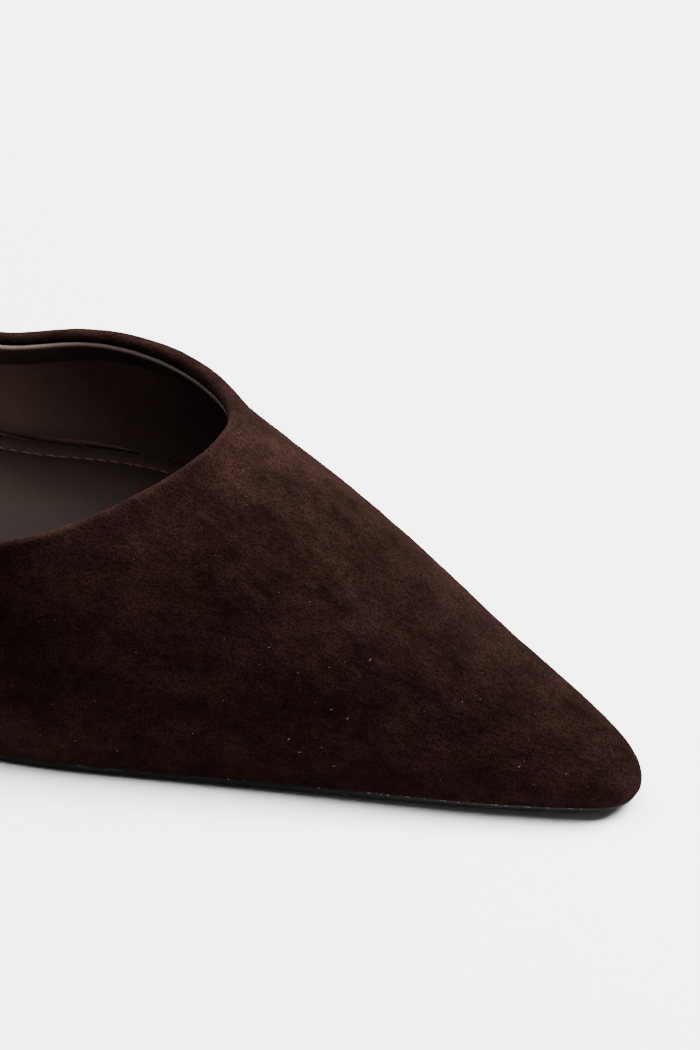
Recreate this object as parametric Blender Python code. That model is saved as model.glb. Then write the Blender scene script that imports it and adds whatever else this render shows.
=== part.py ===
"""Stiletto pump, right shoe: a pointed court shoe in suede on a thin black sole and a covered heel.

The last is worked out first, in its own coordinates: how far behind the toe a point is, how far
to the side, and how high it stands off the bottom of the foot. bend() then carries it over the
side profile of the shoe, flat at the tread and rising to the seat on the heel.
Lengths are metres. +X points to the toe, +Y to the inner (medial) side of the foot, +Z up.
"""

from collections import namedtuple

import bmesh
import bpy
import numpy as np

MM = 0.001

# Bottom of the shoe
SHOE_LENGTH = 235 * MM          # sole edge at the toe to sole edge at the back, along the floor
BALL_WIDTH = 76 * MM            # edge to edge of the sole at the ball
WAIST_WIDTH = 49 * MM           # the same at the waist
SEAT_WIDTH = 50 * MM            # the same at the heel seat
TOE_SHIFT = 1.4 * MM            # how far the toe point leans to the outer side
TOE_SHIFT_REACH = 0.19          # share of the length over which that lean fades
TOE_SPRING = 1.6 * MM           # lift of the toe point off the floor
SPRING_POWER = 1.8              # how late the toe's lift comes, 2 for a parabola
TREAD_FRONT = 95 * MM           # where the flat tread begins, behind the toe
TREAD_BACK = 118 * MM           # where it ends and the shank starts to rise
SEAT_HEIGHT = 85 * MM           # height of the seat at its back edge
SEAT_ANGLE = 14.0               # degrees that the seat slopes down to the front
BALL_BEND = 0.39                # how long the bend at the ball keeps low, as a share of the rise's run
SEAT_BEND = 0.42                # how far the seat's slope reaches forward, likewise
LEAN = 0.7                      # share of the bottom's slope that the sections lean with
LEAN_REACH = 12 * MM            # length each way over which that slope is taken

# Upper
WALL = 2.0 * MM                 # suede and lining together
THROAT = 72.7 * MM              # front of the opening, behind the toe
THROAT_ROUND_OUTER = 54 * MM    # length over which the throat rounds into the outer side
THROAT_ROUND_INNER = 44 * MM    # likewise into the inner side
TOE_HEIGHT = 16.5 * MM          # height of the toe box a thumb's width from the point
INSTEP_HEIGHT = 42 * MM         # height of the vamp's crown near the throat
CONE_HEIGHT = 72 * MM           # height of the last's cone above the seat
BACK_HEIGHT = 52 * MM           # height of the collar at the back
WAIST_HEIGHT = 24 * MM          # height of the collar at the waist
TOE_FAN = 14 * MM               # how far behind the point the toe's sections fan out from
HEEL_FAN = 27 * MM              # the same at the back
HEEL_FAN_POWER = 2.5            # how suddenly they fan out at the back
FAN_FROM, FAN_TO = 0.3, 0.7     # shares of the length between which one fan gives way to the other

# Sole, insole and heel
SOLE_THICKNESS = 2.2 * MM
SOLE_INSET = 0.3 * MM           # sole edge inside the edge of the upper
SOLE_BEVEL = 0.3 * MM
INSOLE_THICKNESS = 3.0 * MM
JOINT_GAP = 0.3 * MM            # between pieces that meet
HEEL_LENGTH = 45 * MM           # seat, from the back to the breast
HEEL_TIP_SETBACK = 14 * MM      # back of the tip, in from the back of the seat
TIP_WIDTH = 10 * MM
TIP_LENGTH = 10 * MM
TIP_THICKNESS = 5 * MM
TIP_FLARE = 0.3 * MM            # the tip's foot stands this far outside its top

# Heel's lengthwise curves: control points of a Bezier curve from the seat down to the tip
HeelCurve = namedtuple("HeelCurve", "out_high out_low down_high down_low")
BREAST_CURVE = HeelCurve(0.42, -0.02, 0.02, 0.16)
BACK_CURVE = HeelCurve(0.82, 0.10, 0.16, 0.30)
SEAT_POINTS = 12                # along each side of the seat
BREAST_POINTS = 7               # across its breast

# Fineness of the faceted solids
VAMP_STATIONS = 20
QUARTER_STATIONS = 30
THROAT_AT = VAMP_STATIONS       # the station at which the collar starts
GIRTH_STEPS = 10
TREAD_STATIONS = 3
SHANK_STATIONS = 13
HEEL_STEPS = 16

OutlineRow = namedtuple("OutlineRow", "behind size outer inner")
OUTLINE = [
    # behind the toe as a share of SHOE_LENGTH, then half widths as shares of the named size
    OutlineRow(0.000, BALL_WIDTH, 0.000, 0.000),
    OutlineRow(0.017, BALL_WIDTH, 0.088, 0.067),
    OutlineRow(0.051, BALL_WIDTH, 0.139, 0.123),
    OutlineRow(0.106, BALL_WIDTH, 0.203, 0.194),
    OutlineRow(0.213, BALL_WIDTH, 0.313, 0.311),
    OutlineRow(0.319, BALL_WIDTH, 0.420, 0.412),
    OutlineRow(0.404, BALL_WIDTH, 0.493, 0.500),
    OutlineRow(0.477, BALL_WIDTH, 0.513, 0.482),
    OutlineRow(0.545, BALL_WIDTH, 0.500, 0.411),
    OutlineRow(0.638, BALL_WIDTH, 0.440, 0.313),
    OutlineRow(0.745, WAIST_WIDTH, 0.561, 0.429),
    OutlineRow(0.851, SEAT_WIDTH, 0.510, 0.490),
    OutlineRow(0.902, SEAT_WIDTH, 0.500, 0.500),
    OutlineRow(0.970, SEAT_WIDTH, 0.310, 0.310),
    OutlineRow(1.000, SEAT_WIDTH, 0.000, 0.000),
]

SectionRow = namedtuple("SectionRow", "behind size height bulge wall crown ridge")
SECTIONS = [
    # behind as above; height as a share of the named size; bulge past the edge, and how far the
    # crown reaches out, as shares of the half width; wall as a share of the height; ridge as a
    # share of BALL_WIDTH to the inner side
    SectionRow(0.060, TOE_HEIGHT, 0.592, 0.09, 0.61, 0.61, 0.025),
    SectionRow(0.128, TOE_HEIGHT, 1.020, 0.10, 0.60, 0.55, 0.024),
    SectionRow(0.234, INSTEP_HEIGHT, 0.787, 0.07, 0.48, 0.48, 0.043),
    SectionRow(0.340, INSTEP_HEIGHT, 1.053, 0.07, 0.42, 0.49, 0.057),
    SectionRow(0.468, CONE_HEIGHT, 0.790, 0.06, 0.38, 0.58, 0.045),
    SectionRow(0.638, CONE_HEIGHT, 0.970, 0.07, 0.37, 0.79, 0.026),
    SectionRow(0.809, CONE_HEIGHT, 1.030, 0.14, 0.45, 1.00, 0.000),
    SectionRow(0.902, CONE_HEIGHT, 1.000, 0.16, 0.45, 1.00, 0.000),
    SectionRow(1.000, CONE_HEIGHT, 0.970, 0.16, 0.45, 1.00, 0.000),
]

CollarRow = namedtuple("CollarRow", "behind size outer inner")
COLLAR = [
    # height of the collar above the sole edge, outer and inner side, as shares of the named size
    CollarRow(0.255, WAIST_HEIGHT, 1.080, 1.080),
    CollarRow(0.340, WAIST_HEIGHT, 1.025, 1.070),
    CollarRow(0.468, WAIST_HEIGHT, 1.180, 1.265),
    CollarRow(0.553, WAIST_HEIGHT, 1.090, 1.090),
    CollarRow(0.638, WAIST_HEIGHT, 1.020, 0.930),
    CollarRow(0.745, WAIST_HEIGHT, 1.280, 1.330),
    CollarRow(0.851, BACK_HEIGHT, 0.850, 0.870),
    CollarRow(0.930, BACK_HEIGHT, 1.000, 1.005),
    CollarRow(1.000, BACK_HEIGHT, 1.000, 1.000),
]

Finish = namedtuple("Finish", "colour roughness metallic")
SUEDE = Finish((0.030, 0.013, 0.009), 0.95, 0.0)
SOCK_LEATHER = Finish((0.036, 0.026, 0.021), 0.55, 0.0)
BLACK_SOLE = Finish((0.006, 0.006, 0.006), 0.45, 0.0)
TIP_RUBBER = Finish((0.008, 0.008, 0.008), 0.60, 0.0)

OUTER, INNER = -1, 1


def smooth_curve(known, values, at):
    """Natural cubic spline through (known, values), read at the points at."""
    known = np.asarray(known, float)
    values = np.asarray(values, float)
    count = len(known)
    step = np.diff(known)
    rise = np.diff(values) / step
    matrix = np.eye(count)
    right = np.zeros(count)
    for i in range(1, count - 1):
        matrix[i, i - 1:i + 2] = step[i - 1], 2 * (step[i - 1] + step[i]), step[i]
        right[i] = 6 * (rise[i] - rise[i - 1])
    bend = np.linalg.solve(matrix, right)
    at = np.asarray(at, float)
    k = np.clip(np.searchsorted(known, at) - 1, 0, count - 2)
    t = at - known[k]
    first = rise[k] - step[k] * (2 * bend[k] + bend[k + 1]) / 6
    return values[k] + t * (first + t * (bend[k] / 2 + t * (bend[k + 1] - bend[k]) / (6 * step[k])))


def bezier(p0, p1, p2, p3, t):
    """Cubic Bezier curve through p0 and p3."""
    s = 1 - t
    return s**3 * p0 + 3 * s * s * t * p1 + 3 * s * t * t * p2 + t**3 * p3


def column(table, name, share):
    """One column of a table of shares, in metres where the row has a size, along the shoe."""
    known = [row.behind for row in table]
    sized = name in ("height", "outer", "inner")
    values = [getattr(row, name) * (row.size if sized else 1) for row in table]
    return smooth_curve(known, values, share)


def edge_height(behind):
    """Height of the sole's top edge over the floor: toe spring, flat tread, then the shank's rise."""
    behind = np.asarray(behind, float)
    lift = np.clip((TREAD_FRONT - behind) / TREAD_FRONT, 0, 2)
    front = SOLE_THICKNESS + TOE_SPRING * lift**SPRING_POWER
    run = SHOE_LENGTH - TREAD_BACK
    tangent = np.tan(np.radians(SEAT_ANGLE))
    t = np.linspace(0, 1, 200)
    along = bezier(TREAD_BACK, TREAD_BACK + BALL_BEND * run, SHOE_LENGTH - SEAT_BEND * run, SHOE_LENGTH, t)
    high = bezier(SOLE_THICKNESS, SOLE_THICKNESS, SEAT_HEIGHT - SEAT_BEND * run * tangent, SEAT_HEIGHT, t)
    rise = np.interp(behind, along, high)
    past = SEAT_HEIGHT + (behind - SHOE_LENGTH) * tangent
    back = np.where(behind > SHOE_LENGTH, past, rise)
    return np.where(behind > TREAD_BACK, back, front)


def bend(behind, side, height):
    """Carries a point of the straight last over the side profile, leaning with the bottom's slope."""
    slope = (edge_height(behind + LEAN_REACH) - edge_height(behind - LEAN_REACH)) / (2 * LEAN_REACH)
    lean = LEAN * np.arctan(slope)
    forward = -behind + height * np.sin(lean)
    up = edge_height(behind) + height * np.cos(lean)
    return np.stack(np.broadcast_arrays(forward, side, up), axis=-1)


def edge_line(behind, side):
    """Sideways place of the sole edge. Read along an angle, so that toe and heel come out round."""
    shares = np.array([row.behind for row in OUTLINE])
    angle = np.arccos(1 - 2 * shares)
    values = [getattr(row, "outer" if side == OUTER else "inner") * row.size for row in OUTLINE]
    at = np.arccos(np.clip(1 - 2 * np.asarray(behind) / SHOE_LENGTH, -1, 1))
    half = smooth_curve(angle, values, at)
    toe_lean = TOE_SHIFT * np.exp(-(np.asarray(behind) / (TOE_SHIFT_REACH * SHOE_LENGTH)) ** 2)
    return side * half + OUTER * toe_lean


def spine(behind):
    """Where each section's ridge stands: straight above it, but held back at the toe and heel."""
    from_toe = np.hypot(behind, TOE_FAN)
    left = np.maximum(SHOE_LENGTH - behind, 0)
    from_heel = SHOE_LENGTH - (left**HEEL_FAN_POWER + HEEL_FAN**HEEL_FAN_POWER) ** (1 / HEEL_FAN_POWER)
    blend = np.clip((behind / SHOE_LENGTH - FAN_FROM) / (FAN_TO - FAN_FROM), 0, 1)
    blend = blend * blend * (3 - 2 * blend)
    return from_toe * (1 - blend) + from_heel * blend


def way_out(behind, girth):
    """How far out from the ridge each girth lies, 1 at the sole edge and more where it bulges."""
    share = spine(behind) / SHOE_LENGTH
    bulge = column(SECTIONS, "bulge", share)
    return bezier(1, 1 + bulge, column(SECTIONS, "crown", share), 0, girth)


def section(behind, girth, side):
    """Last point at station behind; girth runs from 0 at the sole edge to 1 at the ridge."""
    ridge_at = spine(behind)
    share = ridge_at / SHOE_LENGTH
    height = column(SECTIONS, "height", share)
    reach = 0.5 * MM
    climb = (column(SECTIONS, "height", share + reach / SHOE_LENGTH) - height) / reach
    wall = column(SECTIONS, "wall", share)
    crown = column(SECTIONS, "crown", share)
    ridge = column(SECTIONS, "ridge", share) * BALL_WIDTH
    out = way_out(behind, girth)
    away = behind - ridge_at
    up = bezier(0, wall * height, height + climb * crown * away, height, girth)
    return ridge_at + out * away, ridge + out * (edge_line(behind, side) - ridge), up


def girth_at_height(behind, height, side):
    """The girth at which each section reaches a height."""
    steps = np.linspace(0, 1, 80)
    station, girth = np.meshgrid(behind, steps, indexing="ij")
    ups = np.maximum.accumulate(section(station, girth, side)[2], axis=1)
    return np.array([np.interp(wanted, row, steps) for wanted, row in zip(height, ups)])


def collar_girth(behind, side):
    """Where the collar cuts each section: 1 at the throat, then round to the sides and the back."""
    name = "outer" if side == OUTER else "inner"
    side_cut = girth_at_height(behind, column(COLLAR, name, behind / SHOE_LENGTH), side)
    long = THROAT_ROUND_OUTER if side == OUTER else THROAT_ROUND_INNER
    along = np.clip((behind - THROAT) / long, 0, 1)
    rounding = np.sqrt(1 - (1 - along) ** 2)
    return 1 - (1 - side_cut) * rounding


def stations(front, back, count):
    """Distances behind the toe, drawn together at both ends."""
    return front + (back - front) * (1 - np.cos(np.pi * np.linspace(0, 1, count + 1))) / 2


def upper_stations():
    """Stations of the vamp, then of the quarters; one of them is the throat's."""
    vamp = stations(0, THROAT, VAMP_STATIONS)
    return np.concatenate([vamp, stations(THROAT, SHOE_LENGTH, QUARTER_STATIONS)[1:]])


def ring_at(behind, height, lean_room=0.0):
    """Closed ring of last points at one height: outer side toe to heel, then inner side back.

    With lean_room it is drawn in where the last leans in over that much more height.
    """
    halves = []
    for side in (OUTER, INNER):
        girth = girth_at_height(behind, np.full(len(behind), height), side)
        above = girth_at_height(behind, np.full(len(behind), height + lean_room), side)
        leans_in = way_out(behind, above) < way_out(behind, girth)
        halves.append(section(behind, np.where(leans_in, above, girth), side))
    outer, inner = halves
    return (np.concatenate([outer[0], inner[0][::-1][1:-1]]),
            np.concatenate([outer[1], inner[1][::-1][1:-1]]))


def drawn_in(ring, distance):
    """A closed ring moved inwards by distance, square to itself."""
    along, side = ring
    step = np.stack([np.roll(along, -1) - np.roll(along, 1), np.roll(side, -1) - np.roll(side, 1)])
    step /= np.hypot(*step)
    turn = np.sign(np.sum(along * np.roll(side, -1) - np.roll(along, -1) * side))
    return along - turn * distance * step[1], side + turn * distance * step[0]


def new_object(name, vertices, faces, finish):
    """One named piece from its points and faces, with doubles merged and its normals outside."""
    mesh = bpy.data.meshes.new(name)
    build = bmesh.new()
    points = [build.verts.new(v) for v in vertices]
    for face in faces:
        if len(set(face)) > 2:
            build.faces.new([points[i] for i in dict.fromkeys(face)])
    bmesh.ops.remove_doubles(build, verts=build.verts, dist=0.005 * MM)
    bmesh.ops.dissolve_degenerate(build, edges=build.edges, dist=0.001 * MM)
    bmesh.ops.recalc_face_normals(build, faces=build.faces)
    bmesh.ops.triangulate(build, faces=build.faces)
    build.to_mesh(mesh)
    build.free()
    mesh.shade_smooth()
    mesh.set_sharp_from_angle(angle=np.radians(40))
    mesh.materials.append(material(name, finish))
    piece = bpy.data.objects.new(name, mesh)
    bpy.context.scene.collection.objects.link(piece)
    return piece


def material(name, finish):
    """A Principled surface in one colour."""
    made = bpy.data.materials.new(name)
    made.use_nodes = True
    shader = made.node_tree.nodes["Principled BSDF"]
    shader.inputs["Base Color"].default_value = (*finish.colour, 1)
    shader.inputs["Roughness"].default_value = finish.roughness
    shader.inputs["Metallic"].default_value = finish.metallic
    return made


def strips(first, second):
    """Faces between two rows of as many points, given as index lists."""
    return [(first[i], first[i + 1], second[i + 1], second[i]) for i in range(len(first) - 1)]


def closed(row):
    """A row of indices that comes back to its first."""
    return list(row) + [row[0]]


def upper_sheet(behind):
    """Outer face of the upper: a grid of last points for each side, sole edge to collar or ridge."""
    grids = []
    for side in (OUTER, INNER):
        top = np.where(behind > THROAT, collar_girth(behind, side), 1.0)
        girth = top[:, None] * np.linspace(0, 1, GIRTH_STEPS + 1)[None, :]
        station = np.repeat(behind[:, None], GIRTH_STEPS + 1, axis=1)
        grids.append(bend(*section(station, girth, side)))
    return grids


def inner_face(behind, grids):
    """The same grids moved in by the wall, square to the outer face."""
    inside = []
    for side, grid in zip((OUTER, INNER), grids):
        along = np.gradient(grid, axis=0)
        around = np.gradient(grid, axis=1)
        inside.append(np.cross(around, along) * side)
    for end in (0, -1):
        shared = inside[0][end] + inside[1][end]
        inside[0][end] = inside[1][end] = shared
    ridge = behind <= THROAT
    shared = inside[0][ridge, -1] + inside[1][ridge, -1]
    inside[0][ridge, -1] = inside[1][ridge, -1] = shared
    for normals in inside:
        normals[0, -1] = normals[1, -1]
    moved = []
    for side, grid, normal in zip((OUTER, INNER), grids, inside):
        normal /= np.linalg.norm(normal, axis=-1, keepdims=True)
        moved.append(grid + WALL * normal)
    ring = drawn_in(ring_at(behind, 0.0), WALL)
    foot = bend(ring[0], ring[1], np.zeros(len(ring[0])))
    count = len(behind)
    moved[0][:, 0] = foot[:count]
    moved[1][:, 0] = np.concatenate([foot[:1], foot[count:][::-1], foot[count - 1:count]])
    return moved


def rim_rows(outside, inside):
    """Three rows of points that round the collar from the outer to the inner face."""
    middle = (outside[:, -1] + inside[:, -1]) / 2
    across = (outside[:, -1] - inside[:, -1]) / 2
    rise = outside[:, -1] - outside[:, -2]
    rise *= np.linalg.norm(across, axis=1, keepdims=True) / np.linalg.norm(rise, axis=1, keepdims=True)
    return [middle + np.cos(turn) * across + np.sin(turn) * rise
            for turn in np.radians((45, 90, 135))]


def make_upper():
    """One hollow wall: outer and inner face, joined along the collar and along the sole edge."""
    behind = upper_stations()
    outside = upper_sheet(behind)
    inside = inner_face(behind, outside)
    count, rows = len(behind), GIRTH_STEPS + 1
    rims = [rim_rows(outside[side], inside[side]) for side in range(2)]
    for row in range(3):
        shared = (rims[0][row][[THROAT_AT, -1]] + rims[1][row][[THROAT_AT, -1]]) / 2
        rims[0][row][[THROAT_AT, -1]] = rims[1][row][[THROAT_AT, -1]] = shared
    grids = [g.reshape(-1, 3) for g in (*outside, *inside)]
    vertices = np.concatenate(grids + rims[0] + rims[1])
    faces = []
    for part in range(4):
        start = part * count * rows
        index = start + np.arange(count * rows).reshape(count, rows)
        for i in range(count - 1):
            faces += strips(index[i], index[i + 1])
    for side in range(2):
        outer = side * count * rows + np.arange(count * rows).reshape(count, rows)
        inner = outer + 2 * count * rows
        faces += strips(outer[:, 0], inner[:, 0])
        first = (4 * rows + 3 * side) * count
        rim = [outer[:, -1]] + [first + row * count + np.arange(count) for row in range(3)]
        rim.append(inner[:, -1])
        for low, high in zip(rim, rim[1:]):
            faces += strips(low[THROAT_AT:], high[THROAT_AT:])
    return new_object("upper", vertices, faces, SUEDE)


def slab(name, rings, finish):
    """A flat piece from closed rings, bottom to top, each given as bent points; ends are webbed."""
    size = len(rings[0])
    vertices = np.concatenate(rings)
    faces = []
    for level in range(len(rings) - 1):
        low = closed(range(level * size, (level + 1) * size))
        high = closed(range((level + 1) * size, (level + 2) * size))
        faces += strips(low, high)
    for level in (0, len(rings) - 1):
        index = list(range(level * size, (level + 1) * size))
        half = size // 2
        faces += strips(index[:half + 1], closed(index)[:half - 1:-1])
    return new_object(name, vertices, faces, finish)


def make_insole():
    """Insole inside the upper: its edge follows the wall's inner face."""
    behind = upper_stations()
    rings = []
    for height in (JOINT_GAP, INSOLE_THICKNESS):
        ring = drawn_in(ring_at(behind, height, WALL), WALL + JOINT_GAP)
        rings.append(bend(ring[0], ring[1], np.full(len(ring[0]), height)))
    return slab("insole", rings, SOCK_LEATHER)


def make_outsole():
    """Thin sole from the toe to the breast of the heel, its lower edge bevelled."""
    breast = SHOE_LENGTH - HEEL_LENGTH - JOINT_GAP
    behind = np.concatenate([stations(0, TREAD_FRONT, VAMP_STATIONS),
                             np.linspace(TREAD_FRONT, TREAD_BACK, TREAD_STATIONS + 1)[1:],
                             np.linspace(TREAD_BACK, breast, SHANK_STATIONS + 1)[1:]])
    outer = edge_line(behind, OUTER)
    inner = edge_line(behind, INNER)
    along = np.concatenate([behind, behind[::-1][:-1]])
    side = np.concatenate([outer, inner[::-1][:-1]])
    count = len(behind)
    rings = []
    for inset, height in ((SOLE_INSET + SOLE_BEVEL, -SOLE_THICKNESS),
                          (SOLE_INSET, -SOLE_THICKNESS + SOLE_BEVEL),
                          (SOLE_INSET, -JOINT_GAP)):
        ring = drawn_in((along, side), inset)
        ring[0][count - 1] = ring[0][count] = breast
        rings.append(bend(ring[0], ring[1], np.full(len(along), height)))
    return slab("outsole", rings, BLACK_SOLE)


def seat_outline():
    """The sole edge behind the breast as a closed ring, back along one side and across the breast."""
    breast = SHOE_LENGTH - HEEL_LENGTH
    behind = breast + HEEL_LENGTH * np.sin(np.linspace(0, np.pi / 2, SEAT_POINTS))
    outer = edge_line(behind, OUTER)
    inner = edge_line(behind, INNER)
    along = np.concatenate([behind, behind[::-1][1:]])
    side = np.concatenate([outer, inner[::-1][1:]])
    across = np.linspace(side[-1], side[0], BREAST_POINTS + 2)[1:-1]
    return (np.concatenate([along, np.full(len(across), breast)]),
            np.concatenate([side, across]))


def heel_rings(steps):
    """Rings of the heel from the seat down to the tip; each point follows a curve of its own."""
    along, side = drawn_in(seat_outline(), SOLE_INSET)
    seat = bend(along, side, np.full(len(along), -JOINT_GAP))
    share = (along - along.min()) / (along.max() - along.min())
    across = side / np.abs(side).max()
    foot_behind = SHOE_LENGTH - HEEL_TIP_SETBACK - TIP_LENGTH * (1 - share)
    foot = np.stack([-foot_behind, across * TIP_WIDTH / 2,
                     np.full(len(along), TIP_THICKNESS + JOINT_GAP)], axis=-1)
    out_high, out_low, down_high, down_low = [
        breast + (back - breast) * share for breast, back in zip(BREAST_CURVE, BACK_CURVE)]
    rings = []
    for step in np.linspace(0, 1, steps + 1):
        out = bezier(1, out_high, out_low, 0, step)
        down = bezier(0, down_high, down_low, 1, step)
        ring = foot + (seat - foot) * out[:, None]
        ring[:, 2] = seat[:, 2] + (foot[:, 2] - seat[:, 2]) * down
        rings.append(ring)
    return rings


def capped_loft(name, rings, finish):
    """A closed body through rings of equal size, with a fan of faces at each end."""
    size = len(rings[0])
    vertices = np.concatenate([*rings, [rings[0].mean(axis=0)], [rings[-1].mean(axis=0)]])
    faces = []
    for level in range(len(rings) - 1):
        faces += strips(closed(range(level * size, (level + 1) * size)),
                        closed(range((level + 1) * size, (level + 2) * size)))
    for centre, level in ((len(rings) * size, 0), (len(rings) * size + 1, len(rings) - 1)):
        rim = closed(range(level * size, (level + 1) * size))
        faces += [(centre, rim[i], rim[i + 1]) for i in range(size)]
    return new_object(name, vertices, faces, finish)


def make_heel():
    """Covered stiletto heel, from under the seat down to its tip."""
    return capped_loft("heel", heel_rings(HEEL_STEPS), SUEDE)


def make_tip():
    """Hard rubber top piece that the heel stands on."""
    top = heel_rings(1)[-1]
    top[:, 2] = TIP_THICKNESS
    centre = (top.min(axis=0) + top.max(axis=0)) / 2
    foot = centre + (top - centre) * (1 + 2 * TIP_FLARE / TIP_WIDTH)
    foot[:, 2] = 0.0
    return capped_loft("heel_tip", [top, foot], TIP_RUBBER)


def main():
    """Makes the pieces, then puts the origin on the floor under the middle of their box."""
    for old in list(bpy.data.objects):
        bpy.data.objects.remove(old)
    pieces = [make_upper(), make_insole(), make_outsole(), make_heel(), make_tip()]
    points = np.array([v.co for piece in pieces for v in piece.data.vertices])
    middle = (points.min(axis=0) + points.max(axis=0)) / 2
    for piece in pieces:
        for vertex in piece.data.vertices:
            vertex.co.x -= middle[0]
            vertex.co.y -= middle[1]


main()
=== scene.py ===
"""Looks of a suede stiletto pump: upper with its rolled rim, lining, sock, sole, covered heel and tip.

Every surface is worked out from the same last as the solids: section() gives a point of the straight
last, and bend() carries it over the side profile. Lengths are metres; +X toe, +Y inner side, +Z up.
"""

from collections import namedtuple

import bmesh
import bpy
import numpy as np
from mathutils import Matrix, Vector


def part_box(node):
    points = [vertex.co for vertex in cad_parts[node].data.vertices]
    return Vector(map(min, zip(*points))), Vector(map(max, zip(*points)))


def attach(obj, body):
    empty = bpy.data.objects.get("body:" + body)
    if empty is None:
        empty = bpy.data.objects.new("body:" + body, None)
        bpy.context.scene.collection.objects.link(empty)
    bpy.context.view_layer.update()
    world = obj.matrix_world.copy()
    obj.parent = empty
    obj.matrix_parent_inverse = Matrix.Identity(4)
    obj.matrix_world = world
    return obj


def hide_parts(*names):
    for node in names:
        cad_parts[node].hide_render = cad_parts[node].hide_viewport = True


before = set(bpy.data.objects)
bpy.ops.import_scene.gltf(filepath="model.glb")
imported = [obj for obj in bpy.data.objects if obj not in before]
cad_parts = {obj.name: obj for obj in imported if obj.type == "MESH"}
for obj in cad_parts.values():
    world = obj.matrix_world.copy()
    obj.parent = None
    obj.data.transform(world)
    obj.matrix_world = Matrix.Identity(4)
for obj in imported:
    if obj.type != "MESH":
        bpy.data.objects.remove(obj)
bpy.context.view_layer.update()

MM = 0.001
OUTER, INNER = -1, 1

# Last and collar, as in the solids
SHOE_LENGTH = 235 * MM
BALL_WIDTH = 76 * MM
WAIST_WIDTH = 49 * MM
SEAT_WIDTH = 50 * MM
TOE_SHIFT = 1.4 * MM
TOE_SHIFT_REACH = 0.19
TOE_SPRING = 1.6 * MM
SPRING_POWER = 1.8
TREAD_FRONT = 95 * MM
TREAD_BACK = 118 * MM
SEAT_HEIGHT = 85 * MM
SEAT_ANGLE = 14.0
BALL_BEND = 0.39
SEAT_BEND = 0.42
LEAN = 0.7
LEAN_REACH = 12 * MM
THROAT = 72.7 * MM
THROAT_ROUND_OUTER = 54 * MM
THROAT_ROUND_INNER = 44 * MM
TOE_HEIGHT = 16.5 * MM
INSTEP_HEIGHT = 42 * MM
CONE_HEIGHT = 72 * MM
BACK_HEIGHT = 52 * MM
WAIST_HEIGHT = 24 * MM
TOE_FAN = 14 * MM
HEEL_FAN = 27 * MM
HEEL_FAN_POWER = 2.5
FAN_FROM, FAN_TO = 0.3, 0.7
SOLE_THICKNESS = 2.2 * MM
HEEL_LENGTH = 45 * MM
HEEL_TIP_SETBACK = 14 * MM
TIP_WIDTH = 10 * MM
TIP_LENGTH = 10 * MM
TIP_THICKNESS = 5 * MM

HeelCurve = namedtuple("HeelCurve", "out_high out_low down_high down_low")
BREAST_CURVE = HeelCurve(0.42, -0.02, 0.02, 0.16)
BACK_CURVE = HeelCurve(0.82, 0.10, 0.16, 0.30)

OutlineRow = namedtuple("OutlineRow", "behind size outer inner")
OUTLINE = [
    OutlineRow(0.000, BALL_WIDTH, 0.000, 0.000),
    OutlineRow(0.017, BALL_WIDTH, 0.088, 0.067),
    OutlineRow(0.051, BALL_WIDTH, 0.139, 0.123),
    OutlineRow(0.106, BALL_WIDTH, 0.203, 0.194),
    OutlineRow(0.213, BALL_WIDTH, 0.313, 0.311),
    OutlineRow(0.319, BALL_WIDTH, 0.420, 0.412),
    OutlineRow(0.404, BALL_WIDTH, 0.493, 0.500),
    OutlineRow(0.477, BALL_WIDTH, 0.513, 0.482),
    OutlineRow(0.545, BALL_WIDTH, 0.500, 0.411),
    OutlineRow(0.638, BALL_WIDTH, 0.440, 0.313),
    OutlineRow(0.745, WAIST_WIDTH, 0.561, 0.429),
    OutlineRow(0.851, SEAT_WIDTH, 0.510, 0.490),
    OutlineRow(0.902, SEAT_WIDTH, 0.500, 0.500),
    OutlineRow(0.970, SEAT_WIDTH, 0.310, 0.310),
    OutlineRow(1.000, SEAT_WIDTH, 0.000, 0.000),
]

SectionRow = namedtuple("SectionRow", "behind size height bulge wall crown ridge")
SECTIONS = [
    SectionRow(0.060, TOE_HEIGHT, 0.592, 0.09, 0.61, 0.61, 0.025),
    SectionRow(0.128, TOE_HEIGHT, 1.020, 0.10, 0.60, 0.55, 0.024),
    SectionRow(0.234, INSTEP_HEIGHT, 0.787, 0.07, 0.48, 0.48, 0.043),
    SectionRow(0.340, INSTEP_HEIGHT, 1.053, 0.07, 0.42, 0.49, 0.057),
    SectionRow(0.468, CONE_HEIGHT, 0.790, 0.06, 0.38, 0.58, 0.045),
    SectionRow(0.638, CONE_HEIGHT, 0.970, 0.07, 0.37, 0.79, 0.026),
    SectionRow(0.809, CONE_HEIGHT, 1.030, 0.14, 0.45, 1.00, 0.000),
    SectionRow(0.902, CONE_HEIGHT, 1.000, 0.16, 0.45, 1.00, 0.000),
    SectionRow(1.000, CONE_HEIGHT, 0.970, 0.16, 0.45, 1.00, 0.000),
]

CollarRow = namedtuple("CollarRow", "behind size outer inner")
COLLAR = [
    CollarRow(0.255, WAIST_HEIGHT, 1.080, 1.080),
    CollarRow(0.340, WAIST_HEIGHT, 1.025, 1.070),
    CollarRow(0.468, WAIST_HEIGHT, 1.180, 1.265),
    CollarRow(0.553, WAIST_HEIGHT, 1.090, 1.090),
    CollarRow(0.638, WAIST_HEIGHT, 1.020, 0.930),
    CollarRow(0.745, WAIST_HEIGHT, 1.280, 1.330),
    CollarRow(0.851, BACK_HEIGHT, 0.850, 0.870),
    CollarRow(0.930, BACK_HEIGHT, 1.000, 1.005),
    CollarRow(1.000, BACK_HEIGHT, 1.000, 1.000),
]

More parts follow.
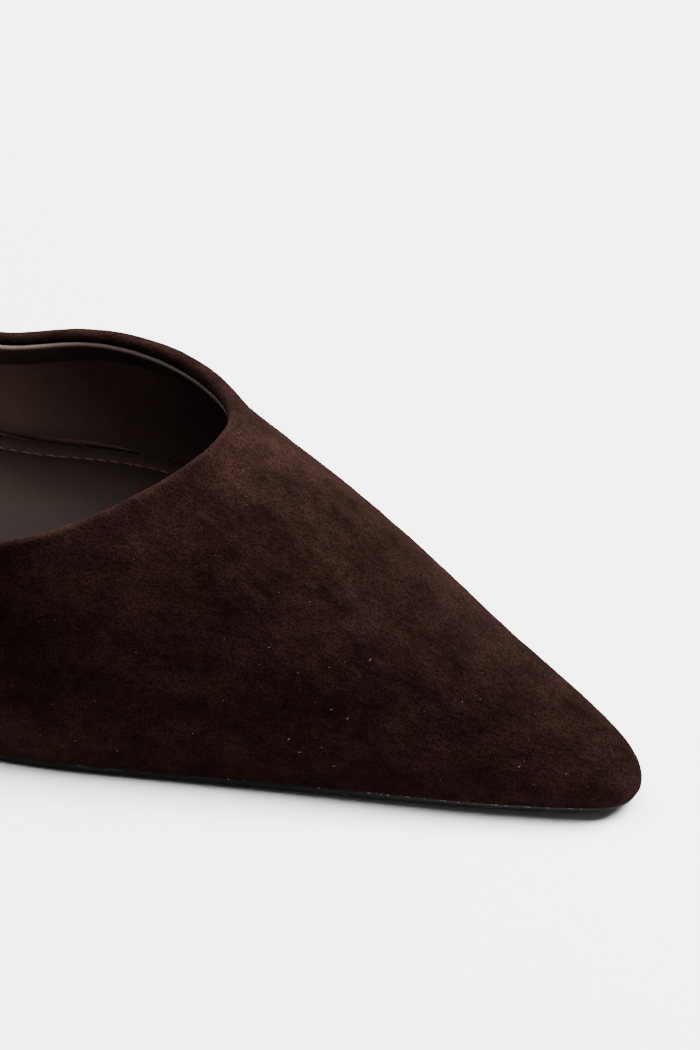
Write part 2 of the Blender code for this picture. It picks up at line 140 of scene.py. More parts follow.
# Finer forms that the solids leave out
NAP_ROUGHNESS = 0.026 * MM
RIM_RADIUS = 1.1 * MM           # of the roll over the collar
RIM_PUFF = 0.30 * MM            # how far the roll stands out of the upper
CORNER_PUFF = 0.40 * MM         # further out, where the roll turns into the inner side
CORNER_BEHIND = 86 * MM
CORNER_REACH = 17 * MM
FOLD_DEPTH = 5.0 * MM           # suede turned down inside
FOLD_IN = 1.7 * MM              # where its cut edge lies, inside the outer face
SEAM_WIDTH = 0.45 * MM          # back seam
SEAM_DEPTH = 0.30 * MM
EDGE_ROUND = 0.5 * MM           # the upper's lower edge turns in by this
EDGE_DROP = 0.15 * MM           # and down by this
EDGE_RETURN = 3.0 * MM          # and runs on under the shoe by this
TOE_SWELL = 0.5 * MM            # the toe's low outer corner stands out by this
TOE_SAG = 0.3 * MM              # and hangs down by this
TOE_REACH = 5 * MM
FRONT_DIP = 0.55 * MM           # the suede hangs down over the sole's edge, towards the toe
DIP_REACH = 4 * MM              # up the upper
BAND_TOP = -0.1 * MM            # below the collar, where the lining's folded edge starts
BAND_WIDTH = 5.2 * MM
BAND_THICKNESS = 0.70 * MM
BAND_COVER = 1.2 * MM           # the band hides this much of the lining's top
LINING_IN = 2.15 * MM           # lining's face, inside the outer face
FOOT_FRONT = 107 * MM           # run of the lining's turned edge, behind the toe
FOOT_BACK = 176 * MM
SOCK_HEIGHT = 3.3 * MM          # sock's face above the sole edge
SOCK_START = LINING_IN + 0.1 * MM
SOCK_CROWN = 0.35 * MM
STITCH_INSET = 3.4 * MM         # stitch row, in from the sock's edge
STITCH_PITCH = 2.15 * MM
STITCH_SHARE = 0.88             # of the pitch that a stitch takes up
STITCH_RADIUS = 0.14 * MM
STITCH_ARCH = 0.13 * MM
STITCH_SKEW = 0.28 * MM
SOLE_INSET = 0.35 * MM
HEEL_GAP = 0.3 * MM             # sole to breast, and heel cover to top piece
JOINT = 0.28 * MM               # the heel's top lies this far under the sole's edge

# Fineness
VAMP_STATIONS = 140
QUARTER_STATIONS = 160
GIRTH_STEPS = 104
SOCK_STATIONS = (90, 150)       # before and behind the throat


def smooth_curve(known, values, at):
    """Natural cubic spline through (known, values), read at the points at."""
    known = np.asarray(known, float)
    values = np.asarray(values, float)
    count = len(known)
    step = np.diff(known)
    rise = np.diff(values) / step
    matrix = np.eye(count)
    right = np.zeros(count)
    for i in range(1, count - 1):
        matrix[i, i - 1:i + 2] = step[i - 1], 2 * (step[i - 1] + step[i]), step[i]
        right[i] = 6 * (rise[i] - rise[i - 1])
    curve = np.linalg.solve(matrix, right)
    at = np.asarray(at, float)
    k = np.clip(np.searchsorted(known, at) - 1, 0, count - 2)
    t = at - known[k]
    first = rise[k] - step[k] * (2 * curve[k] + curve[k + 1]) / 6
    return values[k] + t * (first + t * (curve[k] / 2 + t * (curve[k + 1] - curve[k]) / (6 * step[k])))


def bezier(p0, p1, p2, p3, t):
    """Cubic Bezier curve through p0 and p3."""
    s = 1 - t
    return s**3 * p0 + 3 * s * s * t * p1 + 3 * s * t * t * p2 + t**3 * p3


def ease(low, high, x):
    """0 below low, 1 above high, and a smooth S between."""
    t = np.clip((x - low) / (high - low), 0, 1)
    return t * t * (3 - 2 * t)


def column(table, name, share):
    """One column of a table of shares, in metres where the row has a size, along the shoe."""
    known = [row.behind for row in table]
    sized = name in ("height", "outer", "inner")
    values = [getattr(row, name) * (row.size if sized else 1) for row in table]
    return smooth_curve(known, values, share)


def edge_height(behind):
    """Height of the sole's top edge over the floor: toe spring, flat tread, then the shank's rise."""
    behind = np.asarray(behind, float)
    lift = np.clip((TREAD_FRONT - behind) / TREAD_FRONT, 0, 2)
    front = SOLE_THICKNESS + TOE_SPRING * lift**SPRING_POWER
    run = SHOE_LENGTH - TREAD_BACK
    tangent = np.tan(np.radians(SEAT_ANGLE))
    t = np.linspace(0, 1, 400)
    along = bezier(TREAD_BACK, TREAD_BACK + BALL_BEND * run, SHOE_LENGTH - SEAT_BEND * run, SHOE_LENGTH, t)
    high = bezier(SOLE_THICKNESS, SOLE_THICKNESS, SEAT_HEIGHT - SEAT_BEND * run * tangent, SEAT_HEIGHT, t)
    rise = np.interp(behind, along, high)
    past = SEAT_HEIGHT + (behind - SHOE_LENGTH) * tangent
    back = np.where(behind > SHOE_LENGTH, past, rise)
    return np.where(behind > TREAD_BACK, back, front)


def bend(behind, side, height):
    """Carries a point of the straight last over the side profile, leaning with the bottom's slope."""
    slope = (edge_height(behind + LEAN_REACH) - edge_height(behind - LEAN_REACH)) / (2 * LEAN_REACH)
    lean = LEAN * np.arctan(slope)
    forward = -behind + height * np.sin(lean)
    up = edge_height(behind) + height * np.cos(lean)
    return np.stack(np.broadcast_arrays(forward, side, up), axis=-1)


def edge_line(behind, side):
    """Sideways place of the sole edge. Read along an angle, so that toe and heel come out round."""
    shares = np.array([row.behind for row in OUTLINE])
    angle = np.arccos(1 - 2 * shares)
    outer = smooth_at(angle, [row.outer * row.size for row in OUTLINE], behind)
    inner = smooth_at(angle, [row.inner * row.size for row in OUTLINE], behind)
    toe_lean = TOE_SHIFT * np.exp(-(np.asarray(behind) / (TOE_SHIFT_REACH * SHOE_LENGTH)) ** 2)
    return side * np.where(np.asarray(side) == OUTER, outer, inner) + OUTER * toe_lean


def smooth_at(angle, values, behind):
    """Spline over the angle whose cosine runs from 1 at the toe to -1 at the back."""
    at = np.arccos(np.clip(1 - 2 * np.asarray(behind) / SHOE_LENGTH, -1, 1))
    return smooth_curve(angle, values, at)


def spine(behind):
    """Where each section's ridge stands: straight above it, but held back at the toe and heel."""
    from_toe = np.hypot(behind, TOE_FAN)
    left = np.maximum(SHOE_LENGTH - behind, 0)
    from_heel = SHOE_LENGTH - (left**HEEL_FAN_POWER + HEEL_FAN**HEEL_FAN_POWER) ** (1 / HEEL_FAN_POWER)
    blend = ease(FAN_FROM, FAN_TO, behind / SHOE_LENGTH)
    return from_toe * (1 - blend) + from_heel * blend


def section(behind, girth, side):
    """Last point at station behind; girth runs from 0 at the sole edge to 1 at the ridge."""
    ridge_at = spine(behind)
    share = ridge_at / SHOE_LENGTH
    height = column(SECTIONS, "height", share)
    reach = 0.5 * MM
    climb = (column(SECTIONS, "height", share + reach / SHOE_LENGTH) - height) / reach
    wall = column(SECTIONS, "wall", share)
    crown = column(SECTIONS, "crown", share)
    ridge = column(SECTIONS, "ridge", share) * BALL_WIDTH
    out = bezier(1, 1 + column(SECTIONS, "bulge", share), crown, 0, girth)
    away = behind - ridge_at
    up = bezier(0, wall * height, height + climb * crown * away, height, girth)
    return ridge_at + out * away, ridge + out * (edge_line(behind, side) - ridge), up


def last_face(behind, girth, side):
    """Point of the upper's outer face, in the last's frame with the toe point at the origin."""
    return bend(*section(behind, girth, side))


def girth_at_height(behind, height, side):
    """The girth at which each section reaches a height."""
    steps = np.linspace(0, 1, 160)
    station, girth = np.meshgrid(behind, steps, indexing="ij")
    ups = np.maximum.accumulate(section(station, girth, side)[2], axis=1)
    return np.array([np.interp(wanted, row, steps) for wanted, row in zip(height, ups)])


def collar_girth(behind, side):
    """Where the collar cuts each section: 1 at the throat, then round to the sides and the back."""
    name = "outer" if side == OUTER else "inner"
    side_cut = girth_at_height(behind, column(COLLAR, name, behind / SHOE_LENGTH), side)
    long = THROAT_ROUND_OUTER if side == OUTER else THROAT_ROUND_INNER
    along = np.clip((behind - THROAT) / long, 0, 1)
    return 1 - (1 - side_cut) * np.sqrt(1 - (1 - along) ** 2)


def stations(front, back, count):
    """Distances behind the toe, drawn together at both ends."""
    return front + (back - front) * (1 - np.cos(np.pi * np.linspace(0, 1, count + 1))) / 2


def all_stations(front_count, back_count, middle=THROAT):
    """Stations from the toe to the back, drawn together at both ends and at the middle one."""
    return np.concatenate([stations(0, middle, front_count), stations(middle, SHOE_LENGTH, back_count)[1:]])


def bell(away, reach):
    """1 in the middle, falling softly to 0 over its reach."""
    return np.exp(-(away / reach) ** 2)


def above_edge(points):
    """Height of each point over the sole's top edge."""
    return points[..., 2] - edge_height(-points[..., 0])


def unit(vectors):
    """Vectors scaled to length 1."""
    return vectors / np.maximum(np.linalg.norm(vectors, axis=-1, keepdims=True), 1e-12)


def inward(grids, ridge_rows):
    """Unit normals into the shoe on a pair of grids, outer side and inner side.

    Cross product of the two directions of each grid, shared where the two grids meet: at the toe,
    at the back and along the ridge_rows first stations of the ridge.
    """
    normals = [np.cross(np.gradient(grid, axis=1), np.gradient(grid, axis=0)) * side
               for side, grid in zip((OUTER, INNER), grids)]
    for end in (0, -1):
        normals[0][end] = normals[1][end] = unit(normals[0][end]) + unit(normals[1][end])
    shared = unit(normals[0][1:ridge_rows, -1]) + unit(normals[1][1:ridge_rows, -1])
    normals[0][1:ridge_rows, -1] = normals[1][1:ridge_rows, -1] = shared
    for normal in normals:
        normal[0, -1] = normal[1, -1]
    return [unit(normal) for normal in normals]


def ring_inward(ring):
    """Unit directions into a closed flat ring, square to its run."""
    step = unit(np.roll(ring, -1, axis=0) - np.roll(ring, 1, axis=0))
    turn = np.stack([-step[:, 1], step[:, 0]], axis=-1)
    return -turn if np.sum(turn * (ring.mean(axis=0) - ring)) < 0 else turn


def round_trip(there, back):
    """One line from the toe along the outer side, then another back along the inner side."""
    return np.concatenate([there, back[::-1][:-1]])


def web(first, second, share):
    """Straight rows of points between two lines, at each share of the way across."""
    return first[:, None, :] * (1 - share)[None, :, None] + second[:, None, :] * share[None, :, None]


def tubes(centre, aside, over, radius, sides):
    """Round tubes along centre lines: cosine of the angle times aside, and sine times over."""
    turn = np.radians(np.arange(sides + 1) * (360.0 / sides))
    return centre[:, :, None, :] + radius[..., None, None] * (
        np.cos(turn)[:, None] * aside[:, :, None, :] + np.sin(turn)[:, None] * over[:, :, None, :])


def wave_noise(points, size, seed, count=28):
    """Smooth field between about -1 and 1: a sum of sine waves in seeded directions, size across."""
    dice = np.random.default_rng(seed)
    direction = unit(dice.normal(size=(count, 3)))
    length = size * dice.uniform(0.7, 1.6, count)
    phase = dice.uniform(0, 2 * np.pi, count)
    total = np.zeros(points.shape[:-1])
    for k in range(count):
        total += np.sin(points @ direction[k] * (2 * np.pi / length[k]) + phase[k])
    return total / np.sqrt(count / 2) / 1.6


# Collar ring: outer side from the back to the throat, then the inner side to the back again

Ring = namedtuple("Ring", "behind girth side place normal up")


def collar_ring(count):
    """The collar on the outer face, with the directions into the shoe and up out of the wall."""
    behind = stations(THROAT, SHOE_LENGTH, count)
    outer = collar_girth(behind, OUTER)
    inner = collar_girth(behind, INNER)
    ring_behind = np.concatenate([behind[::-1], behind[1:-1]])
    ring_girth = np.concatenate([outer[::-1], inner[1:-1]])
    ring_side = np.concatenate([np.full(count + 1, OUTER), np.full(count - 1, INNER)])
    place = last_face(ring_behind, ring_girth, ring_side)
    along, around = face_steps(ring_behind, ring_girth, ring_side)
    normal = unit(np.cross(around, along) * ring_side[:, None])
    for _ in range(3):
        normal = unit(np.roll(normal, 1, axis=0) + 2 * normal + np.roll(normal, -1, axis=0))
    tangent = unit(np.roll(place, -1, axis=0) - np.roll(place, 1, axis=0))
    up = unit(np.cross(tangent, normal))
    if np.sum(up[:, 2]) < 0:
        up = -up
    return Ring(ring_behind, ring_girth, ring_side, place, normal, up)


def face_steps(behind, girth, side):
    """Rates of change of the outer face, per metre of station and per unit of girth."""
    reach, share = 0.2 * MM, 0.002
    along = (last_face(behind + reach, girth, side) - last_face(behind - reach, girth, side)) / (2 * reach)
    around = (last_face(behind, girth + share, side) - last_face(behind, girth - share, side)) / (2 * share)
    return along, around


def below_collar(ring, down):
    """Station and girth of the points at each distance down from the collar, square to it."""
    along, around = face_steps(ring.behind, ring.girth, ring.side)
    aa, ab, bb = (np.sum(u * v, axis=1) for u, v in ((along, along), (along, around), (around, around)))
    ua, ub = (-np.sum(ring.up * u, axis=1) for u in (along, around))
    whole = aa * bb - ab * ab
    d_station = (ua * bb - ub * ab) / whole
    d_girth = (ub * aa - ua * ab) / whole
    return (ring.behind[:, None] + down * d_station[:, None],
            ring.girth[:, None] + down * d_girth[:, None])


def collar_sweep(ring, down, depth):
    """Strip along the collar: row j lies down[j] below it and depth[j] inside the outer face."""
    shape = (len(ring.place), np.shape(down)[-1])
    down, depth = np.broadcast_to(down, shape), np.broadcast_to(depth, shape)
    behind, girth = below_collar(ring, np.maximum(down, 0))
    side = np.repeat(ring.side[:, None], shape[1], axis=1)
    place = last_face(behind, girth, side)
    place = place - np.minimum(down, 0)[..., None] * ring.up[:, None, :]
    return place + depth[..., None] * ring.normal[:, None, :]


# Meshes

def grid_faces(first, shape, wrap=False, flip=False):
    """Quads of grids of points numbered from first; wrap joins each grid's last row to its first."""
    index = first + np.arange(np.prod(shape)).reshape(-1, *shape[-2:])
    if wrap:
        index = np.concatenate([index, index[:, :1]], axis=1)
    corners = (index[:, :-1, :-1], index[:, 1:, :-1], index[:, 1:, 1:], index[:, :-1, 1:])
    faces = np.stack(corners, axis=-1).reshape(-1, 4)
    return faces[:, ::-1] if flip else faces


Sheet = namedtuple("Sheet", "points wrap flip tone", defaults=(None,))


def put_in_scene(name, data):
    """A new object, linked to the scene."""
    made = bpy.data.objects.new(name, data)
    bpy.context.scene.collection.objects.link(made)
    return made


def add_painted_light_from_above(mesh):
    """Point attribute of painted light for the suede: 1 where the surface looks up, 0 below."""
    normals = np.empty(len(mesh.vertices) * 3, np.float32)
    mesh.vertices.foreach_get("normal", normals)
    up = normals.reshape(-1, 3)[:, 2]
    mesh.attributes.new("painted_light_from_above", "FLOAT", "POINT").data.foreach_set("value", ease(-0.05, 1.0, up))


def mesh_piece(name, sheets, material, node=None, painted_from_above=False):
    """One object from grids of points; grids that share an edge are merged along it."""
    points, faces, tones, first = [], [], [], 0
    for sheet in sheets:
        shape = sheet.points.shape[:-1]
        points.append(sheet.points.reshape(-1, 3))
        tone = np.zeros(1) if sheet.tone is None else sheet.tone
        tones.append(np.broadcast_to(tone, shape).reshape(-1))
        faces.append(grid_faces(first, shape, sheet.wrap, sheet.flip))
        first += int(np.prod(shape))
    points = np.concatenate(points) + PLACE
    mesh = bpy.data.meshes.new(name)
    mesh.from_pydata(points.tolist(), [], np.concatenate(faces).tolist())
    tone = mesh.attributes.new("tone", "FLOAT", "POINT")
    tone.data.foreach_set("value", np.concatenate(tones).astype(np.float32))
    build = bmesh.new()
    build.from_mesh(mesh)
    bmesh.ops.remove_doubles(build, verts=build.verts, dist=0.004 * MM)
    bmesh.ops.dissolve_degenerate(build, edges=build.edges, dist=0.001 * MM)
    build.to_mesh(mesh)
    build.free()
    mesh.shade_smooth()
    mesh.materials.append(material)
    # painted light: suede pieces made lighter where they look up
    if painted_from_above:
        add_painted_light_from_above(mesh)
    piece = put_in_scene(name, mesh)
    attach(piece, "root")
    if node:
        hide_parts(node)


# Node groups and materials

def add_node(tree, kind, settings=None, **inputs):
    """A node with its settings and inputs, by name or as n and a number; sockets are linked."""
    node = tree.nodes.new(kind)
    for key, value in (settings or {}).items():
        setattr(node, key, value)
    for key, value in inputs.items():
        numbered = key[0] == "n" and key[1:].isdigit()
        socket = node.inputs[int(key[1:]) if numbered else key.replace("_", " ")]
        if isinstance(value, bpy.types.NodeSocket):
            tree.links.new(value, socket)
        else:
            socket.default_value = value
    return node


def noise(tree, vector, scale, detail=3.0, roughness=0.5, distortion=0.0):
    """Noise value, with scale in features per metre."""
    return add_node(tree, "ShaderNodeTexNoise", None, Vector=vector, Scale=scale, Detail=detail,
                    Roughness=roughness, Distortion=distortion).outputs["Fac"]


def spread(tree, value, low, high, to_low=0.0, to_high=1.0):
    """Value between low and high, brought to between to_low and to_high."""
    return add_node(tree, "ShaderNodeMapRange", {"clamp": True}, Value=value, From_Min=low,
                    From_Max=high, To_Min=to_low, To_Max=to_high).outputs["Result"]


def calc(tree, operation, first, second=0.0, third=0.0):
    """A maths node."""
    made = add_node(tree, "ShaderNodeMath", {"operation": operation}, n0=first, n1=second, n2=third)
    return made.outputs[0]


def weighted(tree, *parts):
    """Sum of values, each times its weight."""
    total = calc(tree, "MULTIPLY", *parts[-1])
    for value, weight in parts[-2::-1]:
        total = calc(tree, "ADD", calc(tree, "MULTIPLY", value, weight), total)
    return total


def blend(tree, mask, first, second, mode="MIX"):
    """Colour first where the mask is 0 and second where it is 1, or the two multiplied."""
    return add_node(tree, "ShaderNodeMix", {"data_type": "RGBA", "blend_type": mode}, n0=mask,
                    n6=first, n7=second).outputs[2]


def stretched(tree, vector, scale):
    """The vector with its axes scaled, to draw a pattern out along the shoe."""
    return add_node(tree, "ShaderNodeMapping", None, Vector=vector, Scale=scale).outputs["Vector"]


def attribute(tree, name):
    """Value of a point attribute."""
    return add_node(tree, "ShaderNodeAttribute", {"attribute_name": name}).outputs["Fac"]


def shade(colour, times=1.0):
    """A colour as the nodes take it, made lighter or darker by a factor."""
    return (*[part * times for part in colour], 1)


def open_group(name, **sizes):
    """A shader node group that takes a vector and named sizes, and its inner inputs."""
    tree = bpy.data.node_groups.new(name, "ShaderNodeTree")
    tree.interface.new_socket("Vector", in_out="INPUT", socket_type="NodeSocketVector")
    for label, size in sizes.items():
        socket = tree.interface.new_socket(label.replace("_", " "), in_out="INPUT",
                                           socket_type="NodeSocketFloat")
        socket.default_value = size
    return tree, tree.nodes.new("NodeGroupInput").outputs


def close_group(tree, **values):
    """Gives the group its named outputs."""
    for label in values:
        tree.interface.new_socket(label, in_out="OUTPUT", socket_type="NodeSocketFloat")
    out = tree.nodes.new("NodeGroupOutput").inputs
    for label, value in values.items():
        tree.links.new(value, out[label])
    return tree


def suede_nap():
    """Brushed nap: soft cloudy patches where it lies over, fine grain, and short streaks."""
    tree, given = open_group("suede_nap", Patch_Size=60.0, Grain_Size=3000.0)
    vector, patch, fineness = given["Vector"], given["Patch Size"], given["Grain Size"]
    drawn = stretched(tree, vector, (0.75, 1, 1))
    large = noise(tree, drawn, patch, 2.0, 0.5, 0.25)
    middle = noise(tree, drawn, calc(tree, "MULTIPLY", patch, 3.4), 2.0, 0.5, 0.15)
    small = noise(tree, drawn, calc(tree, "MULTIPLY", patch, 11.0), 2.0, 0.5)
    patches = weighted(tree, (spread(tree, large, 0.30, 0.70), 0.40),
                       (spread(tree, middle, 0.32, 0.68), 0.36), (spread(tree, small, 0.30, 0.70), 0.24))
    fine = noise(tree, vector, fineness, 2.0, 0.6)
    streak = noise(tree, stretched(tree, vector, (0.25, 1, 1)), calc(tree, "MULTIPLY", fineness, 0.55),
                   2.0, 0.6)
    grain = weighted(tree, (spread(tree, fine, 0.32, 0.68), 0.75), (spread(tree, streak, 0.3, 0.7), 0.25))
    hue = noise(tree, vector, calc(tree, "MULTIPLY", patch, 2.3), 3.0, 0.6, 0.4)
    return close_group(tree, Patches=patches, Grain=grain, Hue=spread(tree, hue, 0.35, 0.65),
                       Height=weighted(tree, (grain, 0.7), (small, 0.5)))


def leather_grain():
    """Smooth leather: closed pores, faint wrinkles, rubbed lighter patches and a little dust."""
    tree, given = open_group("leather_grain", Pore_Size=1700.0, Rub_Size=45.0)
    vector, pore = given["Vector"], given["Pore Size"]
    pores = add_node(tree, "ShaderNodeTexVoronoi", {"feature": "DISTANCE_TO_EDGE"}, Vector=vector,
                     Scale=pore, Randomness=0.9)
    plates = spread(tree, pores.outputs["Distance"], 0.0, 0.16)
    wrinkles = noise(tree, stretched(tree, vector, (0.6, 1, 1)), calc(tree, "MULTIPLY", pore, 0.16),
                     4.0, 0.6, 0.8)
    rub = spread(tree, noise(tree, vector, given["Rub Size"], 3.0, 0.55, 0.3), 0.38, 0.66)
    cells = add_node(tree, "ShaderNodeTexVoronoi", {"feature": "F1"}, Vector=vector, Scale=420.0,
                     Randomness=1.0)
    rare = spread(tree, cells.outputs["Color"], 0.84, 0.86)
    dust = calc(tree, "MULTIPLY", rare, spread(tree, cells.outputs["Distance"], 0.045, 0.02))
    return close_group(tree, Pores=plates, Rub=rub, Dust=dust,
                       Height=weighted(tree, (plates, 0.5), (wrinkles, 0.9)))


def scuffs():
    """Handling marks on a hard black surface: long faint scratches and dull smudges."""
    tree, given = open_group("scuffs", Scratch_Size=900.0)
    vector = given["Vector"]
    lines = noise(tree, stretched(tree, vector, (0.05, 1, 1)), given["Scratch Size"], 4.0, 0.7)
    scratches = spread(tree, lines, 0.58, 0.74)
    smudges = spread(tree, noise(tree, vector, 120.0, 4.0, 0.6, 0.5), 0.4, 0.7)
    fine = noise(tree, vector, 2600.0, 2.0, 0.6)
    return close_group(tree, Scratches=scratches, Smudges=smudges,
                       Height=weighted(tree, (fine, 0.6), (scratches, -0.5)))


def blank_material(name):
    """A new material, its node tree and its shader."""
    material = bpy.data.materials.new(name)
    material.use_nodes = True
    return material, material.node_tree, material.node_tree.nodes["Principled BSDF"]


def object_place(tree):
    """Object coordinates."""
    return tree.nodes.new("ShaderNodeTexCoord").outputs["Object"]


def start_material(name, group, **sizes):
    """A new material with one effect group placed in it, and what the group gives."""
    material, tree, shader = blank_material(name)
    effect = add_node(tree, "ShaderNodeGroup", {"node_tree": group}, Vector=object_place(tree), **sizes)
    return material, tree, shader, effect.outputs


def set_looks(tree, shader, colour, roughness, specular, height, strength, distance):
    """Colour, roughness and specular level into the shader, and a bump from a height value."""
    tree.links.new(colour, shader.inputs["Base Color"])
    tree.links.new(roughness, shader.inputs["Roughness"])
    shader.inputs["Specular IOR Level"].default_value = specular
    bump = add_node(tree, "ShaderNodeBump", None, Height=height, Strength=strength, Distance=distance)
    tree.links.new(bump.outputs["Normal"], shader.inputs["Normal"])


def suede_material(name, nap, dark, middle, light):
    """Suede: browns by patch and grain, painted light where the surface looks up, painted glints on the
    grain, a painted sheen at grazing angles and the tone attribute, with a faint shader sheen.
    """
    material, tree, shader, effect = start_material(name, nap)
    painted_from_above, patches, grain = attribute(tree, "painted_light_from_above"), effect["Patches"], effect["Grain"]
    tone = blend(tree, spread(tree, patches, 0.15, 0.85), shade(dark), shade(middle))
    # painted light: lighter where the surface looks up, spread a little by the patches
    top_painted_light = calc(tree, "MULTIPLY_ADD", patches, 0.22, painted_from_above)
    tone = blend(tree, spread(tree, top_painted_light, 0.95, 3.4), tone, shade(light))
    hue = blend(tree, effect["Hue"], (1.02, 0.93, 0.98, 1), (0.99, 1.03, 0.87, 1))
    tone = blend(tree, 1.0, tone, hue, "MULTIPLY")
    tone = blend(tree, spread(tree, grain, 0.28, 0.60, 0.60, 0.0), tone, shade(dark, 0.45))
    # painted glints: the grain's tips made lighter where the surface looks up
    painted_grain_glints = calc(tree, "MULTIPLY", spread(tree, grain, 0.60, 0.92, 0.0, 0.03), painted_from_above)
    tone = blend(tree, painted_grain_glints, tone, shade(light, 1.9))
    # painted sheen: lighter where the surface is seen at a grazing angle
    edge = add_node(tree, "ShaderNodeLayerWeight", None, Blend=0.5)
    painted_grazing_sheen = spread(tree, edge.outputs["Facing"], 0.50, 1.0, 0.0, 0.08)
    tone = blend(tree, painted_grazing_sheen, tone, shade(light, 1.25))
    # tone attribute: paler and darker patches, painted shade in the back seam, painted light and shade on
    # the roll
    patched_and_painted = add_node(tree, "ShaderNodeVectorMath", {"operation": "SCALE"}, n0=tone,
                       Scale=calc(tree, "ADD", attribute(tree, "tone"), 1.0))
    rough = spread(tree, patches, 0, 1, 0.98, 0.90)
    set_looks(tree, shader, patched_and_painted.outputs["Vector"], rough, 0.0, effect["Height"], 0.6, 0.30 * MM)
    shader.inputs["Sheen Weight"].default_value = 0.015
    shader.inputs["Sheen Roughness"].default_value = 0.5
    shader.inputs["Sheen Tint"].default_value = (0.75, 0.50, 0.42, 1)
    return material


def leather_material(name, grain, dark, light, roughness, pore_size=1700.0):
    """Smooth lining leather: tones by rubbing, painted light and shade by the tone attribute, dust, pores
    in the bump.
    """
    material, tree, shader, effect = start_material(name, grain, Pore_Size=pore_size)
    worn = attribute(tree, "tone")
    tone = blend(tree, effect["Rub"], shade(dark), shade(light))
    tone = blend(tree, spread(tree, effect["Pores"], 0, 0.6, 0.30, 0.0), tone, shade(dark, 0.6))
    # painted light and shade from the tone attribute
    tone = blend(tree, spread(tree, worn, 0, 1, 0, 0.85), tone, shade(light, 2.3))
    tone = blend(tree, spread(tree, worn, -1, 0, 0.85, 0), tone, shade(dark, 0.25))
    tone = blend(tree, calc(tree, "MULTIPLY", effect["Dust"], 0.4), tone, (0.14, 0.115, 0.095, 1))
    rough = spread(tree, effect["Rub"], 0, 1, roughness + 0.08, roughness - 0.06)
    set_looks(tree, shader, tone, rough, 0.06, effect["Height"], 0.25, 0.15 * MM)
    return material


def black_material(name, marks, colour, roughness, scratch_size=900.0):
    """Black finished edge or rubber: dull smudges, thin scratches, paler where the tone is up."""
    material, tree, shader, effect = start_material(name, marks, Scratch_Size=scratch_size)
    smudges = effect["Smudges"]
    tone = blend(tree, calc(tree, "MULTIPLY", smudges, 0.5), shade(colour), shade(colour, 2.2))
    tone = blend(tree, calc(tree, "MULTIPLY", effect["Scratches"], 0.35), tone, (0.05, 0.05, 0.048, 1))
    rubbing_and_painted_light = calc(tree, "MULTIPLY", attribute(tree, "tone"), spread(tree, smudges, 0, 1, 0.5, 1.0))
    tone = blend(tree, rubbing_and_painted_light, tone, (0.034, 0.031, 0.029, 1))
    rough = spread(tree, smudges, 0, 1, roughness - 0.08, roughness + 0.15)
    set_looks(tree, shader, tone, rough, 0.06, effect["Height"], 0.3, 0.12 * MM)
    return material


def plain_speck(name, colour, roughness):
    """Glue or chalky dust: pale, with a mottled tone from noise."""
    material, tree, shader = blank_material(name)
    mottled = spread(tree, noise(tree, object_place(tree), 900.0, 2.0), 0.3, 0.7)
    tree.links.new(blend(tree, mottled, shade(colour, 0.45), shade(colour)), shader.inputs["Base Color"])
    shader.inputs["Roughness"].default_value = roughness
    return material


# Pieces

def near_collar(points, ring):
    """Distance of each point to the collar, by way of its nearest ring point."""
    flat = points.reshape(-1, 3)
    nearest = np.full(len(flat), np.inf)
    for block in range(0, len(ring.place), 25):
        away = flat[:, None, :] - ring.place[None, block:block + 25, :]
        nearest = np.minimum(nearest, np.sqrt(np.min(np.sum(away * away, axis=2), axis=1)))
    return nearest.reshape(points.shape[:-1])


def wall_grid(behind, top, side, steps):
    """Points of the outer face at each station, in even steps of girth from the sole edge to top."""
    girth = top[:, None] * np.linspace(0, 1, steps + 1)[None, :]
    return last_face(np.repeat(behind[:, None], steps + 1, axis=1), girth, side)


def upper_grids():
    """Outer face for each side: station by girth, the girth running up to the ridge or the collar."""
    behind = all_stations(VAMP_STATIONS, QUARTER_STATIONS)
    return [wall_grid(behind, np.where(behind > THROAT, collar_girth(behind, side), 1.0), side, GIRTH_STEPS)
            for side in (OUTER, INNER)]


Fold = namedtuple("Fold", "side behind girth rise long wide turn")
FOLDS = [
    # soft troughs (rise below 0) and ridges, at a station in mm and a girth; rise, length and width
    # in mm; turn in degrees from the run of the shoe, up towards the heel
    Fold(INNER, 70, 0.86, -0.30, 9, 4.5, 60),
    Fold(INNER, 63, 0.72, 0.14, 14, 6, 30),
    Fold(OUTER, 66, 0.90, -0.16, 13, 5, -15),
    Fold(OUTER, 84, 0.50, -0.20, 26, 3.6, 22),
    Fold(OUTER, 90, 0.36, 0.14, 24, 4.0, 14),
    Fold(OUTER, 100, 0.24, -0.16, 20, 3.4, 8),
    Fold(OUTER, 74, 0.62, 0.10, 18, 5, 30),
    Fold(OUTER, 52, 0.52, -0.12, 24, 6, 6),
    Fold(OUTER, 38, 0.62, 0.10, 16, 5, 12),
    Fold(OUTER, 26, 0.30, -0.10, 16, 4, 4),
    Fold(OUTER, 118, 0.20, -0.22, 16, 3.2, 10),
    Fold(OUTER, 128, 0.26, 0.16, 15, 3.4, 12),
    Fold(INNER, 104, 0.28, -0.20, 20, 3.4, 12),
    Fold(INNER, 116, 0.22, 0.14, 18, 3.6, 10),
    Fold(INNER, 128, 0.18, -0.22, 16, 3.2, 12),
    Fold(INNER, 46, 0.50, -0.10, 20, 6, 8),
    Fold(OUTER, 36, 1.00, 0.26, 22, 8, 0),
]


